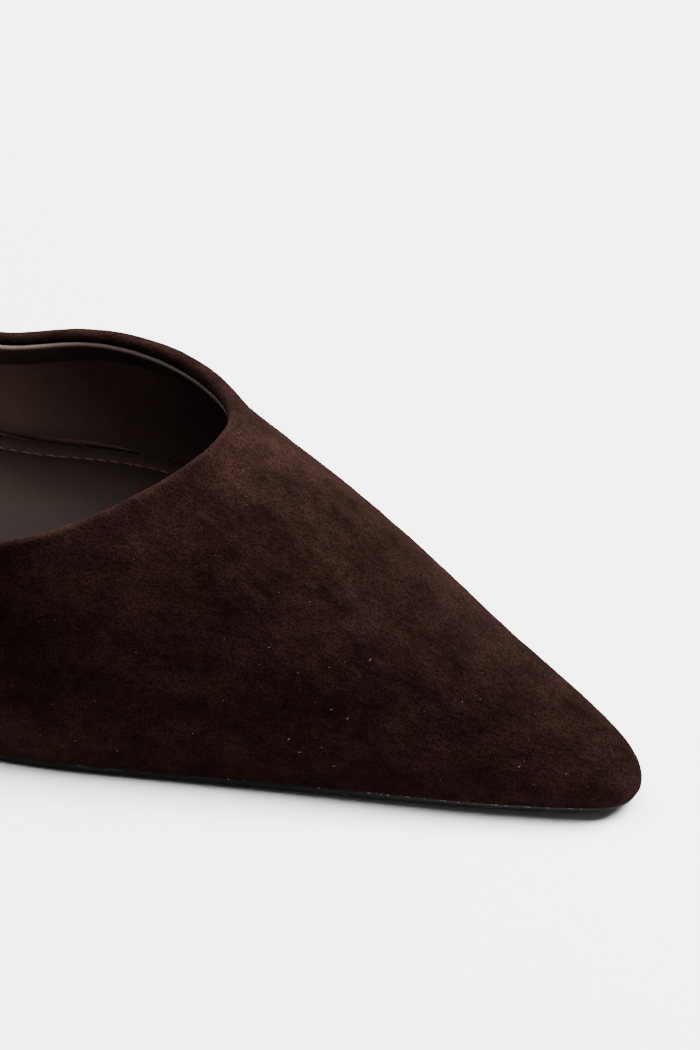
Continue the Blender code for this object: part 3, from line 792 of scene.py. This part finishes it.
def folds(points):
    """Rise of all the folds at each point: a long soft bell, narrow across its run."""
    total = np.zeros(points.shape[:-1])
    for fold in FOLDS:
        at, girth = fold.behind * MM, np.array(fold.girth)
        centre = last_face(np.array(at), girth, fold.side)
        along, around = face_steps(np.array(at), girth, fold.side)
        run = -unit(along)
        climb = unit(around - np.dot(around, run) * run)
        tilt = np.radians(fold.turn)
        lengthwise = np.cos(tilt) * run - np.sin(tilt) * climb
        crosswise = np.sin(tilt) * run + np.cos(tilt) * climb
        away = points - centre
        u, v = away @ lengthwise / (fold.long * MM), away @ crosswise / (fold.wide * MM)
        near = np.exp(-np.sum(away * away, axis=-1) / (2.2 * fold.long * MM) ** 2)
        total += fold.rise * MM * np.exp(-u * u - v * v) * near
    return total


Patch = namedtuple("Patch", "side behind girth tone long wide")
PATCHES = [
    # places where the suede is paler (tone above 0) or darker; station, length and width in mm
    Patch(OUTER, 85, 0.62, 0.25, 12, 7),
    Patch(OUTER, 89, 0.34, -0.34, 20, 9),
    Patch(OUTER, 88, 0.04, 0.45, 16, 4),
    Patch(OUTER, 69, 0.97, 0.30, 9, 9),
    Patch(OUTER, 57, 0.90, 0.24, 12, 9),
    Patch(OUTER, 52, 0.60, 0.55, 14, 6),
    Patch(OUTER, 49, 0.27, -0.24, 14, 5),
    Patch(OUTER, 40, 0.90, -0.24, 10, 8),
    Patch(OUTER, 33, 0.18, 0.42, 10, 4),
    Patch(OUTER, 20, 0.74, -0.34, 9, 8),
    Patch(OUTER, 5, 0.72, -0.18, 6, 6),
    Patch(OUTER, 9, 0.18, 0.62, 8, 4),
    Patch(OUTER, 2, 0.38, 0.10, 4, 4),
    Patch(OUTER, 1.5, 0.08, 1.10, 6, 4),
    Patch(OUTER, 16, 0.03, 0.40, 16, 2.5),
    Patch(OUTER, 150, 0.45, 0.22, 22, 10),
    Patch(OUTER, 196, 0.40, -0.20, 20, 12),
    Patch(INNER, 60, 0.70, 0.25, 16, 9),
    Patch(INNER, 96, 0.35, -0.25, 18, 8),
    Patch(INNER, 160, 0.50, 0.22, 24, 11),
    Patch(INNER, 205, 0.40, -0.18, 18, 12),
]


def suede_tone_and_seam_shade(points):
    """Tone at each point: a soft round bell for each paler or darker patch, and painted shade in the back
    seam's groove.
    """
    # painted shade in the back seam's groove
    total = -0.45 * back_seam(points)
    for patch in PATCHES:
        at, girth = patch.behind * MM, np.array(patch.girth)
        away = points - last_face(np.array(at), girth, patch.side)
        total += patch.tone * np.exp(-(away[..., 0] / (patch.long * MM)) ** 2
                                     - (away[..., 1] ** 2 + away[..., 2] ** 2) / (patch.wide * MM) ** 2)
    return total


def back_seam(points):
    """1 on the seam down the middle of the back, falling to 0 on both sides of it."""
    return bell(points[..., 1], SEAM_WIDTH) * (points[..., 0] < -0.9 * SHOE_LENGTH)


def toe_corner(points):
    """1 at the toe's low outer corner, falling softly to 0 over its reach."""
    away = points - [-1.2 * MM, 5.0 * MM * OUTER, SOLE_THICKNESS + TOE_SPRING]
    return np.exp(-np.sum(away * away, axis=-1) / TOE_REACH**2)


def front_dip(behind):
    """How far the suede's lower edge hangs down: most at the toe, none behind the vamp's front."""
    return FRONT_DIP * (1 - ease(8 * MM, 48 * MM, behind))


def puff_at(points):
    """How far the roll stands out, more where it turns into the inner side."""
    behind = np.array([CORNER_BEHIND])
    corner = last_face(behind, collar_girth(behind, INNER), INNER)[0]
    away = np.linalg.norm(points - corner, axis=-1)
    return RIM_PUFF + CORNER_PUFF * bell(away, CORNER_REACH)


def ragged(shape, seed):
    """Small uneven heights, one per grid point, for the fibres' ragged outline."""
    dice = np.random.default_rng(seed)
    rough = dice.normal(size=shape)
    rough[1:-1, 1:-1] += 0.5 * (dice.normal(size=shape)[1:-1, 1:-1] + rough[:-2, 1:-1])
    return NAP_ROUGHNESS * np.clip(rough, -2.2, 2.2)


def soft_forms(points, distance):
    """How far the suede stands out: puffed rim, valley under it, folds and a slow unevenness."""
    rim = puff_at(points) * bell(distance, 2.8 * MM)
    valley = -0.14 * MM * bell(distance - 6.5 * MM, 3.0 * MM)
    slow = 0.09 * MM * wave_noise(points, 24 * MM, 3) + 0.035 * MM * wave_noise(points, 7 * MM, 4)
    seam = -SEAM_DEPTH * back_seam(points)
    calm = 1 - 0.7 * bell(distance, 5 * MM)
    return rim + valley + seam + (slow * calm + folds(points)) * ease(0, 5 * MM, above_edge(points))


def make_upper(ring, nap):
    """Suede upper: outer face, puffed rim, roll over the collar and the edge folded down inside."""
    grids = upper_grids()
    sheets = []
    for side, grid, normal in zip((OUTER, INNER), grids, inward(grids, VAMP_STATIONS + 1)):
        out = soft_forms(grid, near_collar(grid, ring))
        rough = ragged(out.shape, 50 + side)
        rough[:, [0, -1]] = 0
        rough[[0, -1]] = 0
        blunt = toe_corner(grid)
        moved = grid - (out + rough + TOE_SWELL * blunt)[..., None] * normal
        moved[..., 2] -= front_dip(-grid[..., 0]) * bell(above_edge(grid), DIP_REACH) + TOE_SAG * blunt
        under = []
        for turn in np.radians((30, 60, 90)):
            tuck = EDGE_ROUND * (1 - np.cos(turn))
            under.append(moved[:, 0] + tuck * normal[:, 0] - [0, 0, EDGE_DROP * np.sin(turn)])
        under.append(under[-1] + EDGE_RETURN * normal[:, 0] * [1, 1, 0])
        whole = np.concatenate([np.stack(under[::-1], axis=1), moved], axis=1)
        sheets.append(Sheet(whole, False, side == OUTER, suede_tone_and_seam_shade(whole)))
    tops = [(sheet.points[VAMP_STATIONS:, -1], soft_forms(grid[VAMP_STATIONS:, -1], 0.0))
            for sheet, grid in zip(sheets, grids)]
    start, out = (np.concatenate([first[::-1], second[1:-1]]) for first, second in zip(*tops))
    roll = rim_rows(ring, start, out)
    # painted light on the roll's top, painted shade inside it and down the fold
    roll_painted_light_and_shade = np.concatenate([np.linspace(0, 0.7, 9), np.linspace(0.5, -0.35, 8), np.full(8, -0.4)])
    sheets.append(Sheet(roll, True, False, suede_tone_and_seam_shade(roll) + roll_painted_light_and_shade[None, :]))
    # the last argument adds painted light where the suede looks up
    mesh_piece("suede_upper", sheets, nap, "upper", True)


def rim_rows(ring, start, out):
    """Rows over the collar: half a circle from the outer face inwards, then down the inside."""
    radius = (RIM_RADIUS + out / 2)[:, None]
    turn = np.radians(np.linspace(0, 180, 17)[1:])[None, :]
    waver = 0.03 * MM * wave_noise(ring.place, 16 * MM, 8)[:, None]
    over = -(radius + waver) * np.sin(turn)
    rough = ragged((len(out), 16), 53)
    over = over - rough * np.sin(turn)
    depth = radius * (1 - np.cos(turn)) - out[:, None] + rough * np.cos(turn)
    down = np.linspace(0, FOLD_DEPTH, 9)[None, 1:]
    inside = 2 * RIM_RADIUS - (2 * RIM_RADIUS - FOLD_IN) * ease(0, FOLD_DEPTH, down)
    shape = (len(out), 8)
    rows = collar_sweep(ring, np.hstack([over, np.broadcast_to(down, shape)]),
                        np.hstack([depth, np.broadcast_to(inside, shape)]))
    return np.concatenate([start[:, None, :], rows], axis=1)


def lining_painted_light(points):
    """Painted light and shade: paler towards the heel, darker deep in the forepart and along the foot of
    the wall.
    """
    known = np.array([60, 92, 101, 114, 127]) * MM
    # painted light towards the heel, painted shade deep in the forepart
    painted_light_along = np.interp(-points[..., 0], known, [-0.95, -0.7, -0.4, 0.0, 0.85])
    # painted shade along the foot of the wall
    foot = bell(above_edge(points) - 4.4 * MM, 1.6 * MM)
    return painted_light_along * (1 - 0.4 * foot) - 0.1 * foot


def make_lining(ring, leather):
    """Lining: the inside of the upper, and its folded top edge as a raised band under the rim."""
    low, high = below_collar(ring, np.array([BAND_TOP + BAND_COVER]))
    front = THROAT - BAND_TOP - BAND_COVER
    count = QUARTER_STATIONS
    behind = all_stations(VAMP_STATIONS - 30, count, front)
    grids = []
    for side, chosen in ((OUTER, slice(0, count + 1)), (INNER, np.r_[count:2 * count, 0])):
        known, cut = low[chosen, 0], np.minimum(high[chosen, 0], 1.0)
        order = np.argsort(known)
        top = np.where(behind > front, np.interp(behind, known[order], cut[order]), 1.0)
        grids.append(wall_grid(behind, top, side, 60))
    sheets = []
    for side, grid, normal in zip((OUTER, INNER), grids, inward(grids, VAMP_STATIONS - 29)):
        slack = 0.10 * MM * wave_noise(grid, 20 * MM, 11)
        inside = grid + (LINING_IN + slack)[..., None] * normal
        sheets.append(Sheet(inside, False, side == INNER, lining_painted_light(inside)))
    base = LINING_IN - 0.4 * MM
    face = LINING_IN + BAND_THICKNESS
    lip = np.array([(0.9, 0.0), (0.40, 0.0), (0.12, 0.10), (0.0, 0.36), (0.04, 0.66), (0.22, 0.90),
                    (0.55, 1.0)])
    tail = np.array([(0.35, 0.98), (0.65, 0.94), (0.85, 0.84), (0.94, 0.60), (1.0, 0.15), (1.04, -0.1)])
    down = BAND_TOP + np.concatenate([lip[:, 0] * MM, tail[:, 0] * BAND_WIDTH])
    depth = base + np.concatenate([lip[:, 1], tail[:, 1]]) * (face - base)
    sag = 0.02 * MM * wave_noise(ring.place, 14 * MM, 17)[:, None]
    band = collar_sweep(ring, down + sag, depth)
    # painted shade on the band's lip and on its face under it, and painted light towards the heel
    band_painted_shade = np.r_[-0.3, -0.3, -0.1, -0.1, -0.2, -0.35, -0.5, np.linspace(-0.5, -0.6, len(tail))]
    band_painted_heel_light = np.interp(ring.behind, np.array([80, 101, 114, 127]) * MM, [-0.45, -0.4, -0.35, 0.1])
    sheets.append(Sheet(band, True, True, np.maximum(band_painted_shade[None, :] + band_painted_heel_light[:, None], -0.95)))
    mesh_piece("lining", sheets, leather, None)


def make_foot_strip(leather):
    """Turned edge of the lining at the foot of the inner side: a low wavy welt that rises backwards."""
    behind = np.linspace(FOOT_FRONT, FOOT_BACK, 160)
    wave = 0.12 * MM * wave_noise(last_face(behind, np.full(160, 0.15), INNER), 6 * MM, 61)
    rows = []
    for height, out in ((-0.5, 0.0), (0.1, 0.16), (0.45, 0.24), (0.8, 0.24), (1.15, 0.14), (1.4, -0.1)):
        rise = height * MM * ease(FOOT_FRONT, FOOT_FRONT + 12 * MM, behind)
        girth = girth_at_height(behind, SOCK_HEIGHT + rise + wave * (height > 0.5), INNER)
        along, around = face_steps(behind, girth, INNER)
        normal = unit(np.cross(around, along))
        rows.append(last_face(behind, girth, INNER) + (LINING_IN + out * MM) * normal)
    sheet = Sheet(np.stack(rows, axis=1), False, False)
    mesh_piece("lining_foot", [sheet], leather, None)


def sock_sides(behind):
    """The sock's outline as a flat ring, where its face meets the lining, and the ways into it."""
    edges = []
    for side in (OUTER, INNER):
        girth = girth_at_height(behind, np.full(len(behind), SOCK_HEIGHT), side)
        along, across, _ = section(behind, girth, side)
        edges.append(np.stack([along, across], axis=-1))
    ring = np.concatenate([edges[0], edges[1][::-1][1:-1]])
    return ring, ring_inward(ring)


def sock_face(ring, turn, inset, height):
    """Points of the sock's face at a distance in from its edge, carried over the side profile."""
    along, across = (ring + inset * turn).T
    return bend(along, across, height)


def make_sock(leather):
    """Leather sock: a turned-down edge, a stitch groove along it, and a slightly crowned middle."""
    behind = all_stations(*SOCK_STATIONS)
    ring, turn = sock_sides(behind)
    groove = STITCH_INSET / MM + np.array([-1.2, -0.7, -0.35, -0.12, 0.0, 0.12, 0.35, 0.9])
    insets = np.concatenate([[0.0, 0.02, 0.15, 0.4, 0.8], groove]) * MM
    drop = np.array([1.6, 0.5, 0.2, 0.05, 0.0, 0.0, 0.0, 0.02, 0.05, 0.06, 0.05, 0.02, 0.0]) * MM
    rows = [sock_face(ring, turn, SOCK_START + inset, SOCK_HEIGHT - fall)
            for inset, fall in zip(insets, drop)]
    half = len(behind)
    edge = sock_face(ring, turn, SOCK_START + insets[-1], SOCK_HEIGHT)
    inner = np.concatenate([edge[:1], edge[half:][::-1], edge[half - 1:half]])
    share = np.linspace(0, 1, 41)
    middle = web(edge[:half], inner, share)
    middle[..., 2] += SOCK_CROWN * np.sin(np.pi * share)[None, :] * ease(0, 20 * MM, behind)[:, None]
    middle[..., 2] += 0.12 * MM * wave_noise(middle, 22 * MM, 21) * np.sin(np.pi * share)[None, :]
    # painted shade at the sock's very edge, then painted light on the margin
    margin_painted_light = np.array([-0.3, 0.3, 0.8, 1.0, 1.0, 1.0, 1.0, 1.0, 0.8, 0.5, 0.2, 0.0, 0.1])
    # painted shade on the near part of the middle, painted light on the far part
    rubbing_and_painted_light = np.interp(share, [0, 0.7, 0.8, 0.9, 1], [-0.8, -0.78, -0.4, 0.0, 0.15])
    sheets = [Sheet(np.stack(rows, axis=1), True, True, margin_painted_light[None, :]),
              Sheet(middle, False, True, rubbing_and_painted_light[None, :])]
    mesh_piece("sock", sheets, leather, "insole")


def make_stitches(thread):
    """Row of sock stitches: each a small arched tube, thin at both ends, set a little askew."""
    ring, turn = sock_sides(all_stations(400, 700))
    line = sock_face(ring, turn, SOCK_START + STITCH_INSET, SOCK_HEIGHT - 0.04 * MM)
    line = line[line[:, 0] < -14 * MM]
    start = np.argmax(np.linalg.norm(np.diff(line, axis=0), axis=1)) + 1
    line = np.roll(line, -start, axis=0)
    run = np.concatenate([[0], np.cumsum(np.linalg.norm(np.diff(line, axis=0), axis=1))])
    count = int(run[-1] / STITCH_PITCH)
    dice = np.random.default_rng(5)
    first = (np.arange(count) + dice.uniform(-0.06, 0.06, count)) * STITCH_PITCH
    length = STITCH_SHARE * STITCH_PITCH * dice.uniform(0.92, 1.06, count)
    t = np.linspace(0, 1, 9)
    at = first[:, None] + t[None, :] * length[:, None]
    centre = np.stack([np.interp(at, run, line[:, k]) for k in range(3)], axis=-1)
    tangent = unit(np.gradient(centre, axis=1))
    aside = unit(np.cross(tangent, np.array([0.0, 0.0, 1.0])))
    lift = unit(np.cross(aside, tangent))
    askew = (t - 0.5) * STITCH_SKEW
    arch = STITCH_ARCH * np.sin(np.pi * t) - 0.02 * MM
    centre = centre + askew[None, :, None] * aside + arch[None, :, None] * lift
    radius = STITCH_RADIUS * np.sqrt(np.clip(np.sin(np.pi * (0.04 + 0.92 * t)), 0, 1))
    radius[[0, -1]] = 0.0
    sheet = Sheet(tubes(centre, aside, lift, radius, 6), False, False)
    mesh_piece("sock_stitches", [sheet], thread, None)


def sole_ring(behind, inset):
    """Sole edge drawn in by inset: outer side from the toe to the breast, then the inner side back."""
    ring = np.stack([round_trip(behind, behind),
                     round_trip(edge_line(behind, OUTER), edge_line(behind, INNER))], axis=-1)
    place = np.stack([-ring[:, 0], ring[:, 1], edge_height(ring[:, 0])], axis=-1)
    moved = ring + (inset - TOE_SWELL * toe_corner(place))[:, None] * ring_inward(ring)
    moved[len(behind) - 1:len(behind) + 1, 0] = behind[-1]
    return moved


EdgeRow = namedtuple("EdgeRow", "inset height worn")
SOLE_EDGE = [
    # section of the sole's edge from its top face round to the tread, in mm from the shoe's edge
    EdgeRow(3.0, 0.6, 1), EdgeRow(2.0, 0.6, 1), EdgeRow(1.4, -0.28, 1), EdgeRow(0.55, -0.28, 1),
    EdgeRow(0.2, -0.3, 1), EdgeRow(0.06, -0.38, 1), EdgeRow(0.0, -0.58, 1), EdgeRow(0.0, -0.85, 1),
    EdgeRow(-0.05, -0.95, 1), EdgeRow(0.0, -1.1, 0.3), EdgeRow(0.05, -1.5, 0), EdgeRow(0.18, -1.84, 0),
    EdgeRow(0.42, -2.08, 0), EdgeRow(0.75, -2.18, 0), EdgeRow(1.1, -2.2, 0),
]


def make_sole(black):
    """Thin sole: its edge swept round from the toe to the breast, and both faces webbed across."""
    breast = SHOE_LENGTH - HEEL_LENGTH - HEEL_GAP
    behind = np.concatenate([stations(0, TREAD_FRONT, 120), np.linspace(TREAD_FRONT, breast, 90)[1:]])
    rows = []
    for row in SOLE_EDGE:
        along, across = sole_ring(behind, SOLE_INSET + row.inset * MM).T
        rows.append(bend(along, across, row.height * MM))
    edge = np.stack(rows, axis=1)
    half = len(behind)
    share = np.linspace(0, 1, 9)
    towards_toe = 0.02 + 0.68 * (1 - ease(12 * MM, 48 * MM, round_trip(behind, behind)))
    worn = np.array([row.worn for row in SOLE_EDGE])[None, :] * towards_toe[:, None]
    breast_face = np.swapaxes(web(edge[half - 1], edge[half], share), 0, 1)
    sheets = [Sheet(np.roll(edge, -half, axis=0), False, False, np.roll(worn, -half, axis=0)),
              Sheet(breast_face, False, False)]
    for line, flip in ((rows[0], True), (rows[-1], False)):
        inner = np.concatenate([line[:1], line[half:][::-1]])
        sheets.append(Sheet(web(line[:half], inner, share), False, flip))
    mesh_piece("sole", sheets, black, "outsole")


def seat_outline(points, breast_points):
    """The sole edge behind the breast as a closed ring, back along one side and across the breast."""
    breast = SHOE_LENGTH - HEEL_LENGTH
    behind = breast + HEEL_LENGTH * np.sin(np.linspace(0, np.pi / 2, points))
    along = np.concatenate([behind, behind[::-1][1:]])
    side = np.concatenate([edge_line(behind, OUTER), edge_line(behind, INNER)[::-1][1:]])
    across = np.linspace(side[-1], side[0], breast_points + 2)[1:-1]
    ring = np.stack([np.concatenate([along, np.full(len(across), breast)]),
                     np.concatenate([side, across])], axis=-1)
    return ring + SOLE_INSET * ring_inward(ring)


def heel_rings(steps, points=46, breast_points=31):
    """Rings of the heel from the seat down to the tip; each point follows a curve of its own."""
    ring = seat_outline(points, breast_points)
    seat = bend(ring[:, 0], ring[:, 1], -JOINT)
    share = (ring[:, 0] - ring[:, 0].min()) / (ring[:, 0].max() - ring[:, 0].min())
    across = ring[:, 1] / np.abs(ring[:, 1]).max()
    foot_behind = SHOE_LENGTH - HEEL_TIP_SETBACK - TIP_LENGTH * (1 - share)
    foot = np.stack([-foot_behind, across * TIP_WIDTH / 2,
                     np.full(len(ring), TIP_THICKNESS + HEEL_GAP)], axis=-1)
    out_high, out_low, down_high, down_low = [
        breast + (back - breast) * share for breast, back in zip(BREAST_CURVE, BACK_CURVE)]
    rings = []
    for step in steps:
        out = bezier(1, out_high, out_low, 0, step)
        down = bezier(0, down_high, down_low, 1, step)
        made = foot + (seat - foot) * out[:, None]
        made[:, 2] = seat[:, 2] + (foot[:, 2] - seat[:, 2]) * down
        rings.append(made)
    return rings


def lid(ring, flip):
    """A closed ring filled by rows that shrink to its middle."""
    centre = ring.mean(axis=0)
    share = np.linspace(1, 0, 7)
    return Sheet(centre + (ring - centre)[:, None, :] * share[None, :, None], True, flip)


def make_heel(nap):
    """Covered heel: rings from the seat to the tip, with the cover's edges tucked in at both ends."""
    rings = heel_rings(np.linspace(0, 1, 91))
    body = np.stack(rings, axis=1)
    sheets = [Sheet(body, True, False), lid(rings[0], True), lid(rings[-1], False)]
    # the last argument adds painted light where the suede looks up
    mesh_piece("heel_cover", sheets, nap, "heel", True)


def make_tip(rubber):
    """Top piece: a low plug with rounded edges and a shallow ring round its side."""
    top = heel_rings([1.0])[0]
    centre = (top.min(axis=0) + top.max(axis=0)) / 2
    profile = [(0.96, 5.0), (0.995, 4.92), (1.0, 4.7), (1.0, 3.6), (0.985, 3.5), (0.985, 3.3), (1.01, 3.2),
               (1.03, 1.0), (1.05, 0.35), (1.04, 0.1), (1.0, 0.0)]
    rows = []
    for size, height in profile:
        row = centre + (top - centre) * size
        row[:, 2] = height * MM
        rows.append(row)
    sheets = [Sheet(np.stack(rows, axis=1), True, False), lid(rows[0], True), lid(rows[-1], False)]
    mesh_piece("top_piece", sheets, rubber, "heel_tip")


def make_specks(name, centres, sizes, material, seed, slot):
    """Small uneven lumps: a sphere of angles pushed in and out by its own sines, one per centre."""
    dice = np.random.default_rng(seed)
    theta = np.linspace(0, np.pi, 6)
    phi = np.linspace(0, 2 * np.pi, 9)
    th, ph = np.meshgrid(theta, phi, indexing="ij")
    ball = np.stack([np.sin(th) * np.cos(ph), np.sin(th) * np.sin(ph), np.cos(th)], axis=-1)
    sheets = []
    for centre, size in zip(centres, sizes):
        shape = dice.uniform(0.6, 1.3, 3) * size
        rough = 1 + 0.25 * np.sin(3 * ph + dice.uniform(0, 6)) * np.sin(th) ** 2
        sheets.append(Sheet(centre + ball * rough[..., None] * shape, False, False))
    mesh_piece(name, sheets, material, None)


def make_lint(material, count=280):
    """Stray fibres on the suede: short curled tubes that taper to both ends, lying on the nap."""
    dice = np.random.default_rng(44)
    behind = dice.uniform(4 * MM, 228 * MM, count)
    side = np.where(dice.uniform(size=count) < 0.62, OUTER, INNER)
    high = np.where(side == OUTER, collar_girth(np.maximum(behind, THROAT), OUTER),
                    collar_girth(np.maximum(behind, THROAT), INNER))
    girth = dice.uniform(0.05, 0.93, count) * high
    along, around = face_steps(behind, girth, side)
    normal = unit(np.cross(around, along) * side[:, None])
    run = unit(along)
    across = np.cross(normal, run)
    t = np.linspace(0, 1, 6)
    long = np.where(dice.uniform(size=count) < 0.8, dice.uniform(0.08, 0.18, count),
                    dice.uniform(0.3, 0.7, count)) * MM
    heading = dice.uniform(0, np.pi, count)
    curl = dice.uniform(-2.2, 2.2, count)
    angle = heading[:, None] + curl[:, None] * (t - 0.5)[None, :]
    step = long[:, None] / 5
    u = np.cumsum(np.cos(angle) * step, axis=1)
    v = np.cumsum(np.sin(angle) * step, axis=1)
    lift = (0.05 + 0.10 * np.sin(np.pi * t))[None, :] * MM
    start = last_face(behind, girth, side)
    centre = (start[:, None, :] + u[..., None] * run[:, None, :] + v[..., None] * across[:, None, :]
              - lift[..., None] * normal[:, None, :])
    tangent = unit(np.gradient(centre, axis=1))
    aside = unit(np.cross(tangent, np.broadcast_to(normal[:, None, :], tangent.shape)))
    over = np.cross(aside, tangent)
    radius = dice.uniform(0.022, 0.048, count)[:, None] * MM * np.sqrt(np.sin(np.pi * t) + 1e-9)
    sheet = Sheet(tubes(centre, aside, over, radius, 4), False, False)
    mesh_piece("lint", [sheet], material, None)


def joint_specks():
    """Places along the near and front sole joint where glue has set in pale spots."""
    dice = np.random.default_rng(12)
    at = np.concatenate([dice.uniform(1, 40, 46), dice.uniform(12, 34, 24), dice.uniform(40, 120, 10)]) * MM
    side = np.where(dice.uniform(size=len(at)) < 0.8, OUTER, INNER)
    across = edge_line(at, side) - side * 0.22 * MM
    height = dice.uniform(-0.30, -0.02, len(at)) * MM - front_dip(at)
    return bend(at, across, height), dice.uniform(0.04, 0.13, len(at)) * MM


def sock_specks():
    """Places along the sock's edge and on its face where a little dust has stayed."""
    dice = np.random.default_rng(31)
    behind = all_stations(*SOCK_STATIONS)
    ring, turn = sock_sides(behind)
    edge = sock_face(ring, turn, LINING_IN + 0.35 * MM, SOCK_HEIGHT - 0.02 * MM)
    along = -edge[:, 0]
    inner = np.arange(len(edge)) >= len(behind)
    wanted = np.flatnonzero(inner & (along > 78 * MM) & (along < 150 * MM))
    picked = dice.choice(wanted, 100)
    places = edge[picked] + dice.normal(size=(100, 3)) * [0.9 * MM, 0.10 * MM, 0.02 * MM]
    return places, dice.uniform(0.05, 0.15, 100) * MM


# Floor, light and camera

CAMERA_AZIMUTH = 26.0
CAMERA_ELEVATION = 40.0
CAMERA_DISTANCE = 1.0
LENS = 219.1
AIM_BEHIND = 51.04 * MM         # aim point behind the toe
AIM_HEIGHT = 37.3 * MM


def make_floor():
    """A large pale floor under the shoe."""
    size = 6.0
    u, v = np.meshgrid(np.linspace(-size, size, 3), np.linspace(-size, size, 3), indexing="ij")
    points = np.stack([u, v, np.zeros_like(u)], axis=-1).reshape(-1, 3)
    mesh = bpy.data.meshes.new("floor")
    mesh.from_pydata(points.tolist(), [], grid_faces(0, (3, 3)).tolist())
    floor = put_in_scene("floor", mesh)
    material, tree, shader = blank_material("floor_white")
    cloud = noise(tree, object_place(tree), 6.0, 2.0)
    tone = blend(tree, cloud, shade([0.80] * 3), shade([0.82] * 3))
    tree.links.new(tone, shader.inputs["Base Color"])
    shader.inputs["Roughness"].default_value = 0.85
    shader.inputs["Specular IOR Level"].default_value = 0.1
    mesh.materials.append(material)


def add_light(name, place, aim, size, power):
    """A square soft light that faces a point."""
    data = bpy.data.lights.new(name, "AREA")
    data.shape = "SQUARE"
    data.size = size
    data.energy = power
    lamp = put_in_scene(name, data)
    lamp.location = place
    lamp.rotation_euler = (Vector(aim) - Vector(place)).to_track_quat("-Z", "Y").to_euler()


def make_light():
    """Soft studio light: a dim surround, a soft light behind the toe and a larger one overhead."""
    world = bpy.data.worlds.new("studio")
    bpy.context.scene.world = world
    world.use_nodes = True
    background = world.node_tree.nodes["Background"]
    background.inputs["Color"].default_value = (1, 1, 1, 1)
    background.inputs["Strength"].default_value = 0.13
    add_light("key", (0.68, 0.74, 1.25), (0.05, 0, 0.02), 1.0, 148.0)
    add_light("overhead", (-0.20, 0.22, 1.60), (0.0, 0, 0.02), 1.5, 93.0)


def make_camera():
    """Long lens at the photograph's angle, aimed at the forepart."""
    azimuth, elevation = np.radians(CAMERA_AZIMUTH), np.radians(CAMERA_ELEVATION)
    back = Vector((np.sin(azimuth) * np.cos(elevation), -np.cos(azimuth) * np.cos(elevation),
                   np.sin(elevation)))
    data = bpy.data.cameras.new("camera")
    data.lens = LENS
    data.sensor_width = 36.0
    data.clip_start = 0.01
    camera = put_in_scene("camera", data)
    aim = Vector((PLACE[0] - AIM_BEHIND, PLACE[1], AIM_HEIGHT))
    camera.location = aim + CAMERA_DISTANCE * back
    camera.rotation_euler = (-back).to_track_quat("-Z", "Y").to_euler()
    bpy.context.scene.camera = camera


def find_place():
    """Shift from the last's frame to the part's: it puts the upper's box on the solid's."""
    low, high = (np.array(corner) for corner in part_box("upper"))
    points = np.concatenate([grid.reshape(-1, 3) for grid in upper_grids()])
    middle = (points.min(axis=0) + points.max(axis=0)) / 2
    shift = (low + high) / 2 - middle
    return np.array([shift[0], shift[1], 0.0])


PLACE = find_place()
NAP = suede_nap()
GRAIN = leather_grain()
MARKS = scuffs()

suede = suede_material("chocolate_suede", NAP, (0.0026, 0.0012, 0.0011), (0.0093, 0.0043, 0.0038),
                       (0.0258, 0.0130, 0.0104))
lining_leather = leather_material("lining_leather", GRAIN, (0.084, 0.060, 0.050), (0.136, 0.100, 0.088),
                                  0.50)
turned_edge = leather_material("turned_edge", GRAIN, (0.070, 0.040, 0.034), (0.150, 0.090, 0.078), 0.75,
                               2600.0)
sock_leather = leather_material("sock_leather_face", GRAIN, (0.0116, 0.0073, 0.0058),
                                (0.0157, 0.0103, 0.0084), 0.62)
thread = leather_material("sock_thread", GRAIN, (0.070, 0.042, 0.038), (0.130, 0.088, 0.080), 0.6, 4200.0)
black = black_material("black_edge", MARKS, (0.0009, 0.0009, 0.0009), 0.6)
rubber = black_material("black_rubber", MARKS, (0.006, 0.006, 0.006), 0.62, 1500.0)
glue = plain_speck("dried_glue", (0.15, 0.146, 0.135), 0.6)
lint = plain_speck("pale_lint", (0.110, 0.080, 0.060), 0.8)

collar = collar_ring(QUARTER_STATIONS)
make_upper(collar, suede)
make_lining(collar, lining_leather)
make_foot_strip(turned_edge)
make_sock(sock_leather)
make_stitches(thread)
make_sole(black)
make_heel(suede)
make_tip(rubber)
make_specks("glue_specks", *joint_specks(), glue, 7, "black_sole")
make_specks("sock_dust", *sock_specks(), glue, 8, "sock_leather")
make_lint(lint)
make_floor()
make_light()
make_camera()
